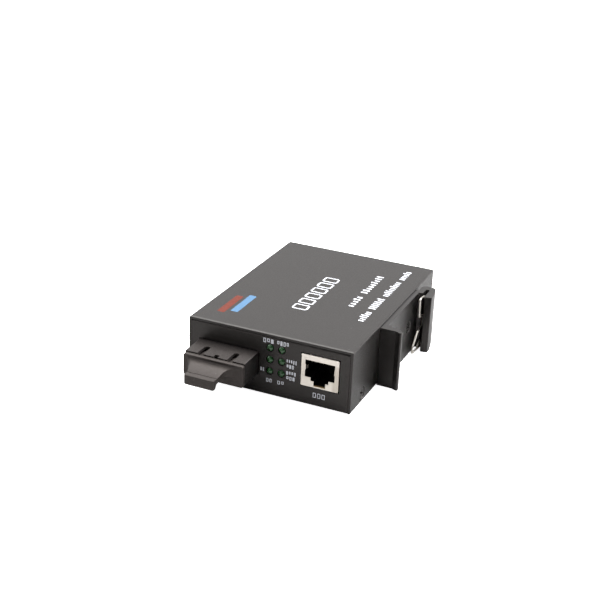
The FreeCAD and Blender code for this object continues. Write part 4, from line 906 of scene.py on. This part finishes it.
# ---------------------------------------------------------------- print
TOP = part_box("top_cover")[1][2] / MM
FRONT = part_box("base_tray")[0][1] / MM
INK = 0.018


def outline_rect(x0, x1, y0, y1, r, n=5):
    return round_rect(x0, x1, y0, y1, r, n, 2)


def slab(bm, pts, plane, lift=0.0):
    """A thin printed field: a closed slice with softened edge, on the top ('z') or the front ('y')."""
    cx = sum(p[0] for p in pts) / len(pts)
    cy = sum(p[1] for p in pts) / len(pts)
    span = max(max(abs(p[0] - cx), abs(p[1] - cy)) for p in pts)
    rows = []
    for h, ins in ((-0.01, 0.0), (INK * 0.55, 0.0), (INK, 0.02)):
        ring = []
        for x, y in pts:
            k = 1.0 - ins / span
            u, v = cx + (x - cx) * k, cy + (y - cy) * k
            ring.append(Vector((u, v, TOP + lift + h)) if plane == "z" else Vector((u, FRONT - lift - h, v)))
        rows.append(ring)
    bridge(bm, rows, True, True, 0.04)


def frame_slab(bm, x0, x1, y0, y1, w, r, plane):
    """A hollow rounded field."""
    outer, inner = outline_rect(x0, x1, y0, y1, r), outline_rect(x0 + w, x1 - w, y0 + w, y1 - w, max(0.05, r - w))
    n = len(outer)

    def at(p, h):
        return Vector((p[0], p[1], TOP + h)) if plane == "z" else Vector((p[0], FRONT - h, p[1]))
    rings = [[bm.verts.new(at(p, h)) for p in loop] for loop, h in ((outer, -0.01), (outer, INK), (inner, INK), (inner, -0.01))]
    for a, b in zip(rings, rings[1:] + rings[:1]):
        for i in range(n):
            j = (i + 1) % n
            bm.faces.new((a[i], a[j], b[j], b[i]))


# coloured fields on the cover
bm = bmesh.new()
slab(bm, outline_rect(-28.1, -24.9, -38.4, -20.4, 0.5), "z")
piece("print_red", bm, "ink_red", "root", 30.0)
bm = bmesh.new()
slab(bm, outline_rect(-23.4, -20.2, -35.6, -17.6, 0.5), "z")
piece("print_blue", bm, "ink_blue", "root", 30.0)

# white rows on the cover: hollow fields, then two rows of short strokes
bm = bmesh.new()
y = -20.7
for i in range(6):
    frame_slab(bm, -3.2, 3.6, y, y + 5.0, 0.75, 1.1, "z")
    y += 6.4


def strokes(bm, x0, x1, y0, y1, groups, plane, seed, gap=0.9):
    """A row of upright strokes in groups, of slightly different heights."""
    rng = random.Random(seed)
    total = sum(groups) + gap * 1.6 * (len(groups) - 1)
    unit = (y1 - y0) / total
    y = y0
    for g in groups:
        for _ in range(g):
            tall = rng.random() < 0.35
            lo = x0 if tall else x0 + (x1 - x0) * 0.26
            w = unit * rng.uniform(0.42, 0.58)
            a, b = y + unit * 0.5 - w / 2, y + unit * 0.5 + w / 2
            slab(bm, outline_rect(lo, x1, a, b, min(w * 0.35, 0.3), 3), plane)
            y += unit
        y += unit * gap * 1.6


strokes(bm, 16.1, 19.2, -8.4, 29.0, (5, 9), "z", 11)
strokes(bm, 24.9, 28.2, -19.8, 39.8, (6, 7, 10, 6), "z", 12)

# small marks beside the lamps and under the copper port
def ticks(bm, x0, x1, z0, z1, n, seed, fill=0.55):
    """A short row of upright marks on the front, some solid and some hollow."""
    rng = random.Random(seed)
    cell = (x1 - x0) / n
    for i in range(n):
        a, b = x0 + cell * (i + 0.5 - fill / 2), x0 + cell * (i + 0.5 + fill / 2)
        lo = z0 if rng.random() < 0.6 else z0 + (z1 - z0) * 0.22
        if b - a > 0.62 and rng.random() < 0.75:
            frame_slab(bm, a, b, lo, z1, 0.33, 0.16, "y")
        else:
            slab(bm, outline_rect(a, b, lo, z1, min((b - a) * 0.3, 0.16), 3), "y")


ticks(bm, -2.6, 2.3, 22.75, 24.65, 3, 21, 0.72)
ticks(bm, 3.4, 8.8, 22.75, 24.65, 4, 22, 0.70)
ticks(bm, 7.7, 12.4, 15.9, 17.6, 5, 23)
ticks(bm, 7.8, 11.2, 13.75, 15.4, 3, 24, 0.7)
ticks(bm, 7.7, 12.2, 10.9, 12.5, 4, 25, 0.68)
ticks(bm, 7.8, 11.8, 8.7, 10.3, 3, 26, 0.72)
ticks(bm, -3.5, -1.5, 9.6, 11.8, 2, 27, 0.62)
ticks(bm, -0.9, 2.0, 5.75, 7.35, 2, 28, 0.72)
ticks(bm, 4.0, 7.2, 5.75, 7.35, 2, 29, 0.72)
ticks(bm, PORT_X - 2.9, PORT_X + 2.7, 3.75, 5.9, 3, 30, 0.74)
piece("print_white", bm, "ink_white", "root", 30.0)

bpy.context.view_layer.update()
